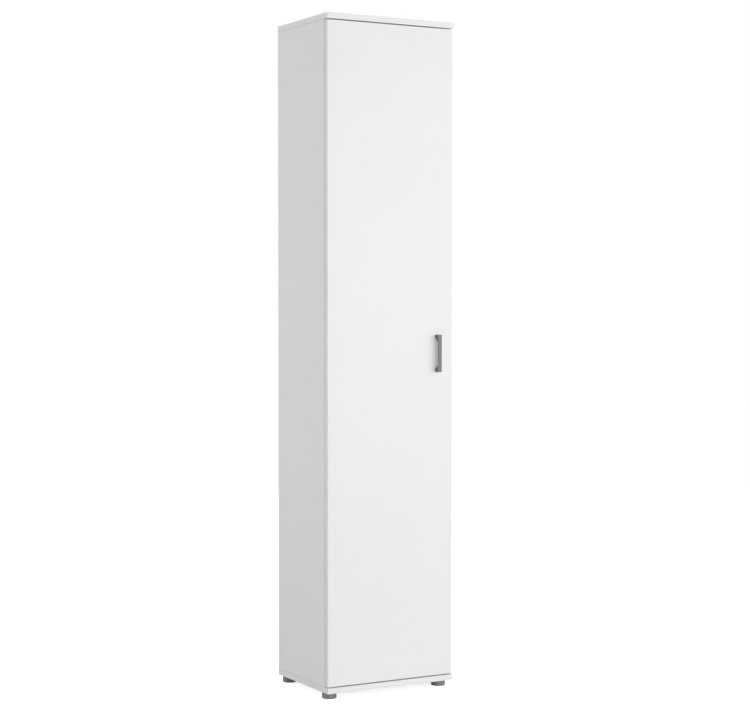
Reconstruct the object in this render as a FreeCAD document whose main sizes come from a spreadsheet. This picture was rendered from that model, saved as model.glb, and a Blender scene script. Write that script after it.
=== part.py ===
import FreeCAD, Part
import math
import os
import Sketcher
from FreeCAD import Placement, Rotation, Vector

# A tall broom cupboard: board carcass, one full-height door on four concealed hinges.
# Axes: X to the right, Y to the back, Z up. The origin is the middle of the ground under it.

# ---------------------------------------------------------------- driving sizes, millimetres

sizes = (
    ("width", 400, "top and bottom panel, end to end"),
    ("depth", 305, "top and bottom panel, front edge to back edge"),
    ("body_height", 1856, "underside of the bottom panel to the top of the top panel"),
    ("board", 16, "thickness of the carcass boards"),
    ("side_inset", 0.6, "side panels behind the ends of the top and bottom panel"),
    ("door_thickness", 16, "door board"),
    ("door_gap", 2, "door to the front edge of the side panels"),
    ("door_top_gap", 3, "door to the top panel"),
    ("door_bottom_gap", 3, "door to the bottom panel"),
    ("door_end_gap", 4.85, "free edge of the door to the end of the top panel"),
    ("back_thickness", 3, "hardboard back"),
    ("back_inset", 2.5, "back sheets inside the outline of the carcass"),
    ("back_split", 1000, "joint of the two back sheets above the cupboard floor"),
    ("strip_flange", 0.8, "flange thickness of the joining strip"),
    ("strip_height", 14, "height of the joining strip"),
    ("strip_web", 1, "web of the joining strip"),
    ("broom_height", 1440, "clear height below the fixed shelf"),
    ("shelf_setback", 22, "shelf front behind the front edge of the side panels"),
    ("pin_pitch", 32, "distance between the shelf pin holes"),
    ("pin_setback", 37, "pin holes behind the shelf's front edge and before its back edge"),
    ("pin_radius", 2.5, "shelf pin"),
    ("pin_depth", 8, "shelf pin in the side panel"),
    ("pin_reach", 8, "shelf pin under the shelf"),
    ("foot_radius", 20, "foot"),
    ("foot_height", 19, "foot"),
    ("foot_rim", 3.5, "rounding of the foot's lower rim"),
    ("foot_from_end", 25, "foot centre from the end of the bottom panel"),
    ("foot_from_front", 39, "front foot centre behind the front edge"),
    ("foot_from_back", 21.5, "back foot centre before the back edge"),
    ("foot_recess_radius", 5.5, "recess for the foot screw"),
    ("foot_recess", 13, "depth of the recess for the foot screw"),
    ("handle_spacing", 96, "handle screws"),
    ("handle_overhang", 4.2, "handle beyond its screw centres"),
    ("handle_width", 12, "handle across"),
    ("handle_bar", 3, "thickness of the handle's bow"),
    ("handle_projection", 16.5, "handle in front of the door"),
    ("handle_leg", 10.5, "height of a handle leg at the door"),
    ("handle_curve", 12.5, "inner curve between leg and bow"),
    ("handle_corner", 1, "outer corners of the handle"),
    ("handle_edge", 0.6, "softened front edges of the handle"),
    ("handle_from_edge", 48, "handle centre from the free edge of the door"),
    ("cam_radius", 7.4, "cam disc"),
    ("cam_depth", 12, "cam disc"),
    ("cam_distance", 34, "cam disc centre from the end of its board"),
    ("cam_inset", 50, "cam connectors from the front and back edge of the boards"),
    ("bolt_radius", 3.5, "cam bolt"),
    ("bolt_thread_radius", 2.6, "threaded end of the cam bolt"),
    ("bolt_thread", 11, "threaded end of the cam bolt"),
    ("dowel_radius", 4, "wooden dowel"),
    ("dowel_length", 30, "wooden dowel"),
    ("dowel_from_edge", 90, "dowels from the front and back edge of the boards"),
    ("dowel_short_end", 10, "dowel in the face of a board"),
    ("screw_radius", 1.9, "wood screw shank"),
    ("screw_head_radius", 3.8, "wood screw head"),
    ("screw_bite", 12, "wood screw in the board"),
    ("head_height", 2.4, "screw head"),
    ("nail_radius", 0.8, "nail"),
    ("nail_head_radius", 1.7, "nail head"),
    ("nail_head", 0.5, "nail head thickness"),
    ("nail_length", 20, "nail"),
    ("nail_pitch", 240, "greatest distance between the nails up the sides"),
    ("fit", 0.12, "clearance of pins, dowels and screws in their bores"),
    ("seat", 0.3, "clearance between pieces that lie close without touching"),
    ("bumper_radius", 4, "soft dot that the door closes on"),
    ("bracket_width", 30, "tip-over bracket"),
    ("bracket_leg", 36, "tip-over bracket, each leg"),
    ("bracket_sheet", 2, "tip-over bracket, sheet thickness"),
    ("bracket_hole", 3, "radius of the hole for the wall screw"),
    ("bracket_hole_drop", 24, "wall screw hole below the top panel"),
    ("hinge_end", 100, "first and last hinge from the ends of the door"),
    ("cup_edge", 22.5, "hinge cup centre from the hinged edge of the door"),
    ("cup_radius", 17.5, "hinge cup"),
    ("cup_depth", 11.8, "hinge cup below the door's inner face"),
    ("cup_wall", 0.8, "sheet of the hinge cup"),
    ("flange_radius", 19.2, "rim of the hinge cup"),
    ("rim_gap", 13.6, "gap in the rim where the links pass"),
    ("rim_gap_depth", 1.3, "depth of that gap, from the top of the rim"),
    ("wing_rise", 30, "half the height of the cup's wings"),
    ("wing_near", 4, "wings on the hinged side of the cup centre"),
    ("wing_far", 13, "wings on the free side of the cup centre"),
    ("wing_corner", 4, "corners of the wings"),
    ("cup_screw_rise", 24, "cup screws above and below the cup centre"),
    ("cup_screw_shift", 6, "cup screws beyond the cup centre"),
    ("cheek_start", 5.5, "pin cheeks from the cup centre"),
    ("cheek_end", 15.2, "pin cheeks to the cup wall"),
    ("cheek_top", 1.6, "pin cheeks below the door's inner face"),
    ("cheek_sheet", 1.2, "pin cheeks"),
    ("link_play", 0.4, "link to the cheeks and to the sides of the arm"),
    ("cup_pin_radius", 0.9, "pivot pins in the cup"),
    ("arm_pin_radius", 1.3, "pivot pins in the arm"),
    ("outer_cup_x", -12.8, "outer link's cup pivot from the cup centre"),
    ("outer_cup_y", -3.3, "outer link's cup pivot from the door's inner face"),
    ("inner_cup_x", -9.1, "inner link's cup pivot from the cup centre"),
    ("inner_cup_y", -6.9, "inner link's cup pivot from the door's inner face"),
    ("outer_arm_x", 12.9, "outer link's arm pivot from the cup centre"),
    ("outer_arm_y", 19, "outer link's arm pivot from the door's inner face"),
    ("inner_arm_x", 7.4, "inner link's arm pivot from the cup centre"),
    ("inner_arm_y", -4.4, "inner link's arm pivot from the door's inner face"),
    ("neck_high_x", 3.9, "goose neck of the outer link, bend near the arm"),
    ("neck_high_y", 6, "goose neck of the outer link, bend near the arm"),
    ("neck_low_x", -9.3, "goose neck of the outer link, bend in the cup"),
    ("neck_low_y", -4.35, "goose neck of the outer link, bend in the cup"),
    ("bow_x", -0.3, "lowest point of the inner link's bow"),
    ("bow_y", -9.26, "lowest point of the inner link's bow"),
    ("open_eye_x", -8.87, "centre of the inner link's wide eye"),
    ("open_eye_y", -7.01, "centre of the inner link's wide eye"),
    ("open_eye_bore", 2.33, "bore radius of the inner link's wide eye"),
    ("open_eye_wall", 0.5, "wall of the inner link's wide eye"),
    ("link_sheet", 2, "sheet of both links"),
    ("eye_wall", 0.7, "wall of the rolled eyes"),
    ("link_width", 12, "both links, over all"),
    ("strap_width", 6, "outer link's strap, between the sides of the inner link"),
    ("link_side", 1.8, "sides of the inner link"),
    ("link_web", 0.9, "web that joins the sides of the inner link"),
    ("arm_sheet", 1.4, "sheet of the arm"),
    ("arm_top", 7.5, "top of the arm from the cup centre"),
    ("arm_rear", 64, "rear end of the arm behind the door's inner face"),
    ("arm_neck", 27, "place behind the door where the arm rises to its pivot"),
    ("arm_front_foot", 18, "front end of the arm's low sides"),
    ("lug_radius", 3, "arm around the outer link's pivot"),
    ("tip_radius", 2.3, "arm around the inner link's pivot"),
    ("plate_sheet", 2, "mounting plate on the side panel"),
    ("plate_setback", 37, "mounting plate centre behind the side panel's front edge"),
    ("plate_rail", 19, "half the length of the mounting plate's rail"),
    ("plate_wing_rise", 22, "half the height of the mounting plate"),
    ("plate_wing", 7, "half the width of the mounting plate's wings"),
    ("plate_screw_rise", 16, "plate screws above and below the plate centre"),
    ("arm_screw_shift", 8, "arm screws before and behind the plate centre"),
    ("arm_screw_radius", 2, "arm screw"),
    ("arm_screw_head", 3.2, "arm screw head"),
    ("arm_screw_bite", 8, "arm screw in the mounting plate"),
)

hinge_count = 4
hinge_numbers = range(1, hinge_count + 1)
spare_pin_rows = 2
shelf_share = 0.25  # adjustable shelf, share of the free room over it up to the top hinge

doc = FreeCAD.newDocument("BroomCupboard")
sheet = doc.addObject("Spreadsheet::Sheet", "Sizes")
for row, (alias, value, note) in enumerate(sizes, start=1):
    sheet.set(f"A{row}", note)
    sheet.set(f"B{row}", str(value))
    sheet.setAlias(f"B{row}", alias)
doc.recompute()
s = sheet

# ---------------------------------------------------------------- derived sizes, as expressions

half_width = "(Sizes.width / 2)"
side_outer_x = "(Sizes.width / 2 - Sizes.side_inset)"
side_inner_x = f"({side_outer_x} - Sizes.board)"
inner_width = f"(2 * {side_inner_x})"
total_depth = "(Sizes.handle_projection + Sizes.depth + Sizes.back_thickness + Sizes.strip_flange)"
door_front_y = f"(Sizes.handle_projection - {total_depth} / 2)"
door_back_y = f"({door_front_y} + Sizes.door_thickness)"
side_front_y = f"({door_back_y} + Sizes.door_gap)"
side_depth = "(Sizes.depth - Sizes.door_thickness - Sizes.door_gap)"
back_y = f"({door_front_y} + Sizes.depth)"
floor_z = "(Sizes.foot_height + Sizes.board)"
side_height = "(Sizes.body_height - 2 * Sizes.board)"
ceiling_z = f"({floor_z} + {side_height})"
shelf_z = f"({floor_z} + Sizes.broom_height)"
shelf_front_y = f"({side_front_y} + Sizes.shelf_setback)"
shelf_depth = f"({side_depth} - Sizes.shelf_setback)"
split_z = f"({floor_z} + Sizes.back_split)"
door_left_x = f"(-{side_outer_x})"
door_width = "(Sizes.width - Sizes.side_inset - Sizes.door_end_gap)"
door_z = f"({floor_z} + Sizes.door_bottom_gap)"
door_height = f"({side_height} - Sizes.door_bottom_gap - Sizes.door_top_gap)"
cup_x = f"({door_left_x} + Sizes.cup_edge)"
# in a hinge's own frame: the side panel's inner face, and the rail's top under the arm
plate_x = "(Sizes.board - Sizes.cup_edge)"
plate_y = "(Sizes.door_gap + Sizes.plate_setback)"
rail_top_x = "(Sizes.arm_top - Sizes.arm_sheet - Sizes.seat)"
arm_foot_x = f"({plate_x} + Sizes.plate_sheet + Sizes.seat)"
arm_half = "(Sizes.link_width / 2 + Sizes.link_play)"


def number(expression):
    """value of an expression over the sheet of sizes"""
    return float(sheet.evalExpression(expression))


hinge_pitch = f"(({door_height} - 2 * Sizes.hinge_end) / {hinge_count - 1})"
hinge_heights = {n: f"({door_z} + Sizes.hinge_end + {n - 1} * {hinge_pitch})" for n in hinge_numbers}
top_plate_low_z = f"({hinge_heights[hinge_count]} - Sizes.plate_wing_rise)"
free_room = f"({top_plate_low_z} - {shelf_z} - 2 * Sizes.board - 2 * Sizes.pin_radius)"
upper_shelf_z = f"({top_plate_low_z} - {shelf_share} * {free_room} - Sizes.board)"
pin_middle_z = f"({upper_shelf_z} - Sizes.pin_radius)"

# ---------------------------------------------------------------- helpers

kept = []


def keep(obj, label):
    """marks an object as a piece of the cupboard, under its own name"""
    obj.Label = label
    kept.append(obj)
    return obj


def put(obj, corner):
    for axis, expression in zip("xyz", corner):
        obj.setExpression(f"Placement.Base.{axis}", expression)


def box(name, size, corner):
    solid = doc.addObject("Part::Box", name)
    for side, expression in zip(("Length", "Width", "Height"), size):
        solid.setExpression(side, expression)
    put(solid, corner)
    return solid


def bore(place, direction, radius, depth):
    """a drilled hole's volume; direction points into the material"""
    return Part.makeCylinder(radius, depth, place, direction)


def drilled(name, blank, bores):
    """the blank with all its bores taken out"""
    drill = doc.addObject("Part::Feature", name + "_bores")
    drill.Shape = Part.makeCompound(bores)
    board = doc.addObject("Part::Cut", name)
    board.Base = blank
    board.Tool = drill
    return board


def fixed_shape(label, shape):
    piece = doc.addObject("Part::Feature", label)
    piece.Shape = shape
    return keep(piece, label)


def new_body(label, corner):
    body = doc.addObject("PartDesign::Body", label)
    put(body, corner)
    return keep(body, label)


def new_sketch(body, role, offset=None):
    """an empty sketch on one of the body's own planes, moved along the plane's normal"""
    sketch = body.newObject("Sketcher::SketchObject", f"{body.Name}_sketch")
    planes = [f for f in body.Origin.OriginFeatures if f.Role == role]
    sketch.AttachmentSupport = [(planes[0], "")]
    sketch.MapMode = "FlatFace"
    if offset is not None:
        sketch.setExpression("AttachmentOffset.Base.z", offset)
    return sketch


def fix_point(sketch, geometry, end, x, y):
    """holds a point of the sketch at x, y, both given as expressions"""
    for kind, axis, expression in (("DistanceX", -2, x), ("DistanceY", -1, y)):
        value = number(expression)
        if abs(value) < 1e-9:
            sketch.addConstraint(Sketcher.Constraint("PointOnObject", geometry, end, axis))
        else:
            held = Sketcher.Constraint(kind, -1, 1, geometry, end, value)
            sketch.setExpression(f"Constraints[{sketch.addConstraint(held)}]", expression)


def add_outline(sketch, corners):
    """closed outline of straight lines through the corners"""
    points = [Vector(number(x), number(y), 0) for x, y in corners]
    first = sketch.GeometryCount
    count = len(points)
    for i in range(count):
        sketch.addGeometry(Part.LineSegment(points[i], points[(i + 1) % count]))
    for i in range(count):
        follower = first + (i + 1) % count
        sketch.addConstraint(Sketcher.Constraint("Coincident", first + i, 2, follower, 1))
        fix_point(sketch, first + i, 1, *corners[i])


def add_rectangle(sketch, x0, y0, x1, y1):
    add_outline(sketch, [(x0, y0), (x1, y0), (x1, y1), (x0, y1)])


def add_circle(sketch, x, y, radius):
    centre = Vector(number(x), number(y), 0)
    circle = sketch.addGeometry(Part.Circle(centre, Vector(0, 0, 1), number(radius)))
    fix_point(sketch, circle, 3, x, y)
    held = sketch.addConstraint(Sketcher.Constraint("Radius", circle, number(radius)))
    sketch.setExpression(f"Constraints[{held}]", radius)


def pad(body, sketch, length, symmetric=False, reverse=False):
    feature = body.newObject("PartDesign::Pad", f"{body.Name}_pad")
    feature.Profile = sketch
    feature.setExpression("Length", length)
    feature.SideType = "Symmetric" if symmetric else "One side"
    feature.Reversed = reverse
    return feature


def pocket(body, sketch, length, symmetric=False, reverse=False):
    """takes material away, and makes sure that it did"""
    doc.recompute()
    before = body.Shape.Volume
    feature = body.newObject("PartDesign::Pocket", f"{body.Name}_pocket")
    feature.Profile = sketch
    feature.setExpression("Length", length)
    feature.SideType = "Symmetric" if symmetric else "One side"
    feature.Reversed = reverse
    doc.recompute()
    if body.Shape.Volume >= before:
        raise RuntimeError(f"{body.Label}: a pocket took nothing away")
    return feature


def soften(body, feature, chosen, radius):
    """rounds the edges of the feature for which chosen(edge) is true"""
    doc.recompute()
    names = [f"Edge{i}" for i, edge in enumerate(feature.Shape.Edges, start=1) if chosen(edge)]
    fillet = body.newObject("PartDesign::Fillet", f"{body.Name}_fillet")
    fillet.Base = (feature, names)
    fillet.setExpression("Radius", radius)
    return fillet


def is_line_along(edge, axis):
    if not isinstance(edge.Curve, Part.Line):
        return False
    return abs(edge.Curve.Direction.dot(axis)) > 0.999


def middle(edge):
    return edge.CenterOfMass


X = Vector(1, 0, 0)
Y = Vector(0, 1, 0)
Z = Vector(0, 0, 1)
sides = (-1, 1)

# ---------------------------------------------------------------- places of the fasteners

inner_x = number(side_inner_x)
front_y = number(side_front_y)
rear_y = number(back_y)
ground_z = number(floor_z)
top_z = number(ceiling_z)
shelf_low_z = number(shelf_z)
shelf_mid_z = shelf_low_z + s.board / 2
board_mid_x = inner_x + s.board / 2
cam_ys = (front_y + s.cam_inset, rear_y - s.cam_inset)
dowel_ys = (front_y + s.dowel_from_edge, rear_y - s.dowel_from_edge)
cup_centre_x = number(cup_x)
door_inner_y = number(door_back_y)


def end_joints(ys):
    """places and directions of the connectors: panel face point, direction into the joined board"""
    for side in sides:
        for y in ys:
            yield Vector(side * board_mid_x, y, ground_z), Z
            yield Vector(side * board_mid_x, y, top_z), -Z
            yield Vector(side * inner_x, y, shelf_mid_z), X * -side


def face_normal(place, direction):
    """the way a cam disc looks: into the cupboard, or down out of the shelf"""
    if abs(direction.z) > 0.5:
        return X * (-1 if place.x > 0 else 1)
    return -Z


def cam_disc_centre(place, direction):
    """middle of the disc's visible face"""
    return place + direction * s.cam_distance + face_normal(place, direction) * (s.board / 2)


def cam_disc(place, direction):
    """round disc, open on the side where the bolt enters, with a cross in its face"""
    normal = face_normal(place, direction)
    centre = cam_disc_centre(place, direction) - normal * s.fit
    disc = Part.makeCylinder(s.cam_radius, s.cam_depth, centre, -normal)
    mid = centre - normal * (s.board / 2 - s.fit)
    channel = Part.makeCylinder(s.bolt_radius + s.fit, 2 * s.cam_radius, mid, -direction)
    across = normal.cross(direction)
    arm_length = s.cam_radius * 1.1
    arm_width = s.cam_radius * 0.16
    arm_depth = s.cam_depth * 0.17
    cross = []
    for long_way, short_way in ((direction, across), (across, direction)):
        corner = centre - long_way * (arm_length / 2) - short_way * (arm_width / 2) - normal * arm_depth
        outline = [
            corner,
            corner + long_way * arm_length,
            corner + long_way * arm_length + short_way * arm_width,
            corner + short_way * arm_width,
            corner,
        ]
        face = Part.Face(Part.makePolygon(outline))
        cross.append(face.extrude(normal * (2 * arm_depth)))
    return disc.cut([channel] + cross)


def cam_bolt(place, direction):
    """threaded end in the panel, smooth shank up to the middle of the disc"""
    shank_length = s.cam_distance - s.fit
    shank = Part.makeCylinder(s.bolt_radius - s.fit, shank_length, place, direction)
    thread = Part.makeCylinder(s.bolt_thread_radius, s.bolt_thread, place, -direction)
    return shank.fuse(thread).removeSplitter()


def cam_bores(place, direction):
    """bores in the board that holds the disc"""
    normal = face_normal(place, direction)
    centre = cam_disc_centre(place, direction)
    return [
        bore(centre, -normal, s.cam_radius + s.fit, s.cam_depth + 2 * s.fit),
        bore(place, direction, s.bolt_radius, s.cam_distance),
    ]


def thread_bore(place, direction):
    return bore(place, -direction, s.bolt_thread_radius + s.fit, s.bolt_thread + s.fit)


def dowel(place, direction):
    foot = place - direction * s.dowel_short_end
    return Part.makeCylinder(s.dowel_radius, s.dowel_length, foot, direction)


def dowel_bores(place, direction):
    """bore in the face of the panel, and bore in the end of the joined board"""
    radius = s.dowel_radius + s.fit
    long_end = s.dowel_length - s.dowel_short_end
    return (
        bore(place, -direction, radius, s.dowel_short_end + s.fit),
        bore(place, direction, radius, long_end + s.fit),
    )


def is_side_end(direction):
    return abs(direction.z) > 0.5


cams = list(end_joints(cam_ys))
dowels = list(end_joints(dowel_ys))

nail_side_x = (number(side_outer_x) + inner_x) / 2
sheet_rear_y = rear_y + s.back_thickness
sheet_low_z = s.foot_height + s.back_inset
sheet_high_z = s.foot_height + s.body_height - s.back_inset
nail_steps = math.ceil((sheet_high_z - sheet_low_z - 2 * s.board) / s.nail_pitch)
nail_rise = (sheet_high_z - sheet_low_z - 2 * s.board) / nail_steps
nail_zs = [sheet_low_z + s.board + i * nail_rise for i in range(nail_steps + 1)]
side_nails = [Vector(side * nail_side_x, sheet_rear_y, z) for side in sides for z in nail_zs]
level_zs = (s.foot_height + s.board / 2, shelf_mid_z, top_z + s.board / 2)
level_nails = [Vector(x, sheet_rear_y, z) for z in level_zs for x in (-inner_x / 2, 0, inner_x / 2)]
nails = side_nails + level_nails


def nail_bores(places):
    """bores through the sheet and into the board edge behind it"""
    length = s.nail_length + s.fit
    return [bore(place, -Y, s.nail_radius + s.fit, length) for place in places]


pin_ys = (
    number(shelf_front_y) + s.pin_setback,
    number(shelf_front_y) + number(shelf_depth) - s.pin_setback,
)
pin_seat_z = number(pin_middle_z)
pin_zs = [pin_seat_z + step * s.pin_pitch for step in range(-spare_pin_rows, spare_pin_rows + 1)]

foot_places = {
    "front_left_foot": (-1, "front"),
    "front_right_foot": (1, "front"),
    "back_left_foot": (-1, "back"),
    "back_right_foot": (1, "back"),
}
foot_x = "(Sizes.width / 2 - Sizes.foot_from_end)"
foot_y = {
    "front": f"({door_front_y} + Sizes.foot_from_front)",
    "back": f"({back_y} - Sizes.foot_from_back)",
}

handle_x = f"({door_left_x} + {door_width} - Sizes.handle_from_edge)"
handle_z = "(Sizes.foot_height + Sizes.body_height / 2)"
handle_screw_places = [
    Vector(number(handle_x), door_inner_y, number(handle_z) + side * s.handle_spacing / 2) for side in sides
]
hinge_places = {
    n: Vector(cup_centre_x, door_inner_y, number(hinge_heights[n])) for n in hinge_numbers
}
plate_offset = Vector(number(plate_x), number(plate_y), 0)
bracket_rear_y = rear_y

# ---------------------------------------------------------------- carcass boards


def make_top_and_bottom():
    rows = (("bottom_panel", "Sizes.foot_height", True), ("top_panel", ceiling_z, False))
    for name, corner_z, at_floor in rows:
        blank = box(name + "_blank", ("Sizes.width", "Sizes.depth", "Sizes.board"),
                    (f"-{half_width}", door_front_y, corner_z))
        level = ground_z if at_floor else top_z
        bores = [thread_bore(*joint) for joint in cams if is_side_end(joint[1]) and joint[0].z == level]
        bores += [dowel_bores(*joint)[0] for joint in dowels if is_side_end(joint[1]) and joint[0].z == level]
        bores += nail_bores([p for p in nails if abs(p.z - level) < s.board])
        if at_floor:
            bores += [foot_screw_bore(place) for place in foot_screw_places()]
        else:
            bores += [bore(place, Z, s.screw_radius + s.fit, s.screw_bite + s.fit)
                      for place in bracket_screw_places()]
        keep(drilled(name, blank, bores), name)


def foot_screw_places():
    for side, row in foot_places.values():
        yield Vector(side * number(foot_x), number(foot_y[row]), s.foot_height)


def foot_screw_bore(place):
    return bore(place, Z, s.screw_radius + s.fit, s.screw_bite + s.fit)


def bracket_screw_places():
    for side in sides:
        yield Vector(side * s.bracket_width / 4, bracket_rear_y - s.bracket_leg * 0.6, top_z)


def make_side(name, side):
    corner_x = f"-{side_outer_x}" if side < 0 else side_inner_x
    blank = box(name + "_blank", ("Sizes.board", side_depth, side_height), (corner_x, side_front_y, floor_z))
    into_side = X * side
    bores = []
    for place, direction in cams:
        if place.x * side < 0:
            continue
        if is_side_end(direction):
            bores += cam_bores(place, direction)
        else:
            bores.append(thread_bore(place, direction))
    for place, direction in dowels:
        if place.x * side > 0:
            bores.append(dowel_bores(place, direction)[1 if is_side_end(direction) else 0])
    bores += nail_bores([p for p in side_nails if p.x * side > 0])
    for y in pin_ys:
        for z in pin_zs:
            place = Vector(side * inner_x, y, z)
            bores.append(bore(place, into_side, s.pin_radius + s.fit, s.pin_depth + s.fit))
    if side < 0:
        for place in plate_screw_places():
            bores.append(bore(place, into_side, s.screw_radius + s.fit, s.screw_bite + s.fit))
    keep(drilled(name, blank, bores), name)


def plate_screw_places():
    """where the plate screws enter the side panel"""
    for place in hinge_places.values():
        for side in sides:
            yield place + plate_offset + Z * (side * s.plate_screw_rise)


def make_fixed_shelf():
    corner = (f"-{side_inner_x}", shelf_front_y, shelf_z)
    blank = box("fixed_shelf_blank", (inner_width, shelf_depth, "Sizes.board"), corner)
    bores = []
    for place, direction in cams:
        if not is_side_end(direction):
            bores += cam_bores(place, direction)
    for place, direction in dowels:
        if not is_side_end(direction):
            bores.append(dowel_bores(place, direction)[1])
    bores += nail_bores([p for p in level_nails if abs(p.z - shelf_mid_z) < s.board])
    keep(drilled("fixed_shelf", blank, bores), "fixed_shelf")


def make_adjustable_shelf():
    shelf = box(
        "adjustable_shelf",
        (f"({inner_width} - 2 * Sizes.seat)", f"({shelf_depth} - Sizes.seat)", "Sizes.board"),
        (f"(-{side_inner_x} + Sizes.seat)", shelf_front_y, upper_shelf_z),
    )
    keep(shelf, "adjustable_shelf")


def shelf_pin(place, side):
    """peg in the side panel, collar on its face and rest under the shelf"""
    length = s.pin_depth + s.pin_reach
    peg = Part.makeCylinder(s.pin_radius, length, place + X * (side * s.pin_depth), X * -side)
    collar = Part.makeCylinder(s.pin_radius * 1.5, s.board / 16, place, X * -side)
    return peg.fuse(collar.common(below_top(place))).removeSplitter()


def below_top(place):
    """everything under the shelf that rests on the pin"""
    reach = 4 * s.pin_radius
    block = Part.makeBox(2 * reach, 2 * reach, reach + s.pin_radius)
    block.translate(place - Vector(reach, reach, reach))
    return block


def make_shelf_pins():
    pins = []
    for side in sides:
        for y in pin_ys:
            pins.append(shelf_pin(Vector(side * inner_x, y, pin_seat_z), side))
    fixed_shape("shelf_pins", Part.makeCompound(pins))


def make_back():
    """two hardboard sheets in an H strip, nailed to the back edges"""
    sheet_width = f"(2 * {side_outer_x} - 2 * Sizes.back_inset)"
    left = f"(-{side_outer_x} + Sizes.back_inset)"
    low = "(Sizes.foot_height + Sizes.back_inset)"
    high = "(Sizes.foot_height + Sizes.body_height - Sizes.back_inset)"
    web_low = f"({split_z} - Sizes.strip_web / 2)"
    web_high = f"({split_z} + Sizes.strip_web / 2)"
    rows = (
        ("back_panel_lower", low, f"({web_low} - {low})"),
        ("back_panel_upper", web_high, f"({high} - {web_high})"),
    )
    for name, bottom, height in rows:
        blank = box(name + "_blank", (sheet_width, "Sizes.back_thickness", height), (left, back_y, bottom))
        low_z = number(bottom)
        high_z = low_z + number(height)
        places = [p for p in nails if low_z < p.z < high_z]
        bores = [bore(p, -Y, s.nail_radius + s.fit, s.back_thickness + s.fit) for p in places]
        if name == "back_panel_upper":
            hole = bracket_hole_place()
            bores.append(bore(hole, Y, s.bracket_hole, s.back_thickness))
        keep(drilled(name, blank, bores), name)


def make_joining_strip():
    """H section: web between the sheets, a flange on each of their faces"""
    body = new_body("back_joining_strip", ("0", back_y, split_z))
    sketch = new_sketch(body, "YZ_Plane")
    half = "(Sizes.strip_height / 2)"
    web = "(Sizes.strip_web / 2)"
    front = "(-Sizes.strip_flange)"
    rear = "(Sizes.back_thickness + Sizes.strip_flange)"
    deep = "Sizes.back_thickness"
    add_outline(sketch, [
        (front, f"-{half}"), ("0", f"-{half}"), ("0", f"-{web}"), (deep, f"-{web}"),
        (deep, f"-{half}"), (rear, f"-{half}"), (rear, half), (deep, half),
        (deep, web), ("0", web), ("0", half), (front, half),
    ])
    pad(body, sketch, f"({inner_width} - 2 * Sizes.seat)", symmetric=True)


def nail(place):
    shank = Part.makeCylinder(s.nail_radius, s.nail_length, place, -Y)
    head = Part.makeCylinder(s.nail_head_radius, s.nail_head, place, Y)
    return shank.fuse(head)


def make_fasteners():
    fixed_shape("cam_discs", Part.makeCompound([cam_disc(*joint) for joint in cams]))
    fixed_shape("cam_bolts", Part.makeCompound([cam_bolt(*joint) for joint in cams]))
    fixed_shape("wooden_dowels", Part.makeCompound([dowel(*joint) for joint in dowels]))
    fixed_shape("back_nails", Part.makeCompound([nail(place) for place in nails]))


# ---------------------------------------------------------------- screws


def screw(seat, direction, shank_radius, shank_length, head_radius, countersunk=True):
    """screw whose head's top lies in the plane of seat; direction is the way it is driven"""
    if countersunk:
        head = Part.makeCone(head_radius, shank_radius, s.head_height, seat, direction)
    else:
        head = Part.makeCylinder(head_radius, s.head_height, seat, direction)
    shank = Part.makeCylinder(shank_radius, shank_length, seat, direction)
    slot_width = head_radius * 0.3
    side = direction.cross(X if abs(direction.x) < 0.5 else Y).normalize()
    along = direction.cross(side)
    corner = seat - along * head_radius - side * (slot_width / 2)
    depth = s.head_height * 0.4
    outline = [
        corner,
        corner + along * (2 * head_radius),
        corner + along * (2 * head_radius) + side * slot_width,
        corner + side * slot_width,
        corner,
    ]
    slot = Part.Face(Part.makePolygon(outline)).extrude(direction * depth)
    return head.fuse(shank).removeSplitter().cut(slot)


# ---------------------------------------------------------------- feet


def make_feet():
    """short round feet with a soft lower rim, each held by a screw in a recess"""
    for name, (side, row) in foot_places.items():
        sign = "-" if side < 0 else ""
        body = new_body(name, (f"{sign}{foot_x}", foot_y[row], "0"))
        sketch = new_sketch(body, "XY_Plane")
        add_circle(sketch, "0", "0", "Sizes.foot_radius")
        post = pad(body, sketch, "Sizes.foot_height")
        rim = soften(body, post, lambda edge: middle(edge).z < 1e-6 and edge.isClosed(), "Sizes.foot_rim")
        sketch = new_sketch(body, "XY_Plane")
        add_circle(sketch, "0", "0", "Sizes.foot_recess_radius")
        pocket(body, sketch, "Sizes.foot_recess", reverse=True)
        sketch = new_sketch(body, "XY_Plane")
        add_circle(sketch, "0", "0", "(Sizes.screw_radius + Sizes.fit)")
        pocket(body, sketch, "Sizes.foot_height", reverse=True)
    shank = s.foot_height - s.foot_recess + s.screw_bite + s.head_height
    screws = []
    for place in foot_screw_places():
        seat = Vector(place.x, place.y, s.foot_recess - s.head_height)
        screws.append(screw(seat, Z, s.screw_radius, shank, s.screw_head_radius, countersunk=False))
    fixed_shape("foot_screws", Part.makeCompound(screws))


# ---------------------------------------------------------------- tip-over bracket


def bracket_hole_place():
    """middle of the wall screw hole, on the front face of the back sheet"""
    return Vector(0, bracket_rear_y, top_z - s.bracket_hole_drop)


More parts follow.
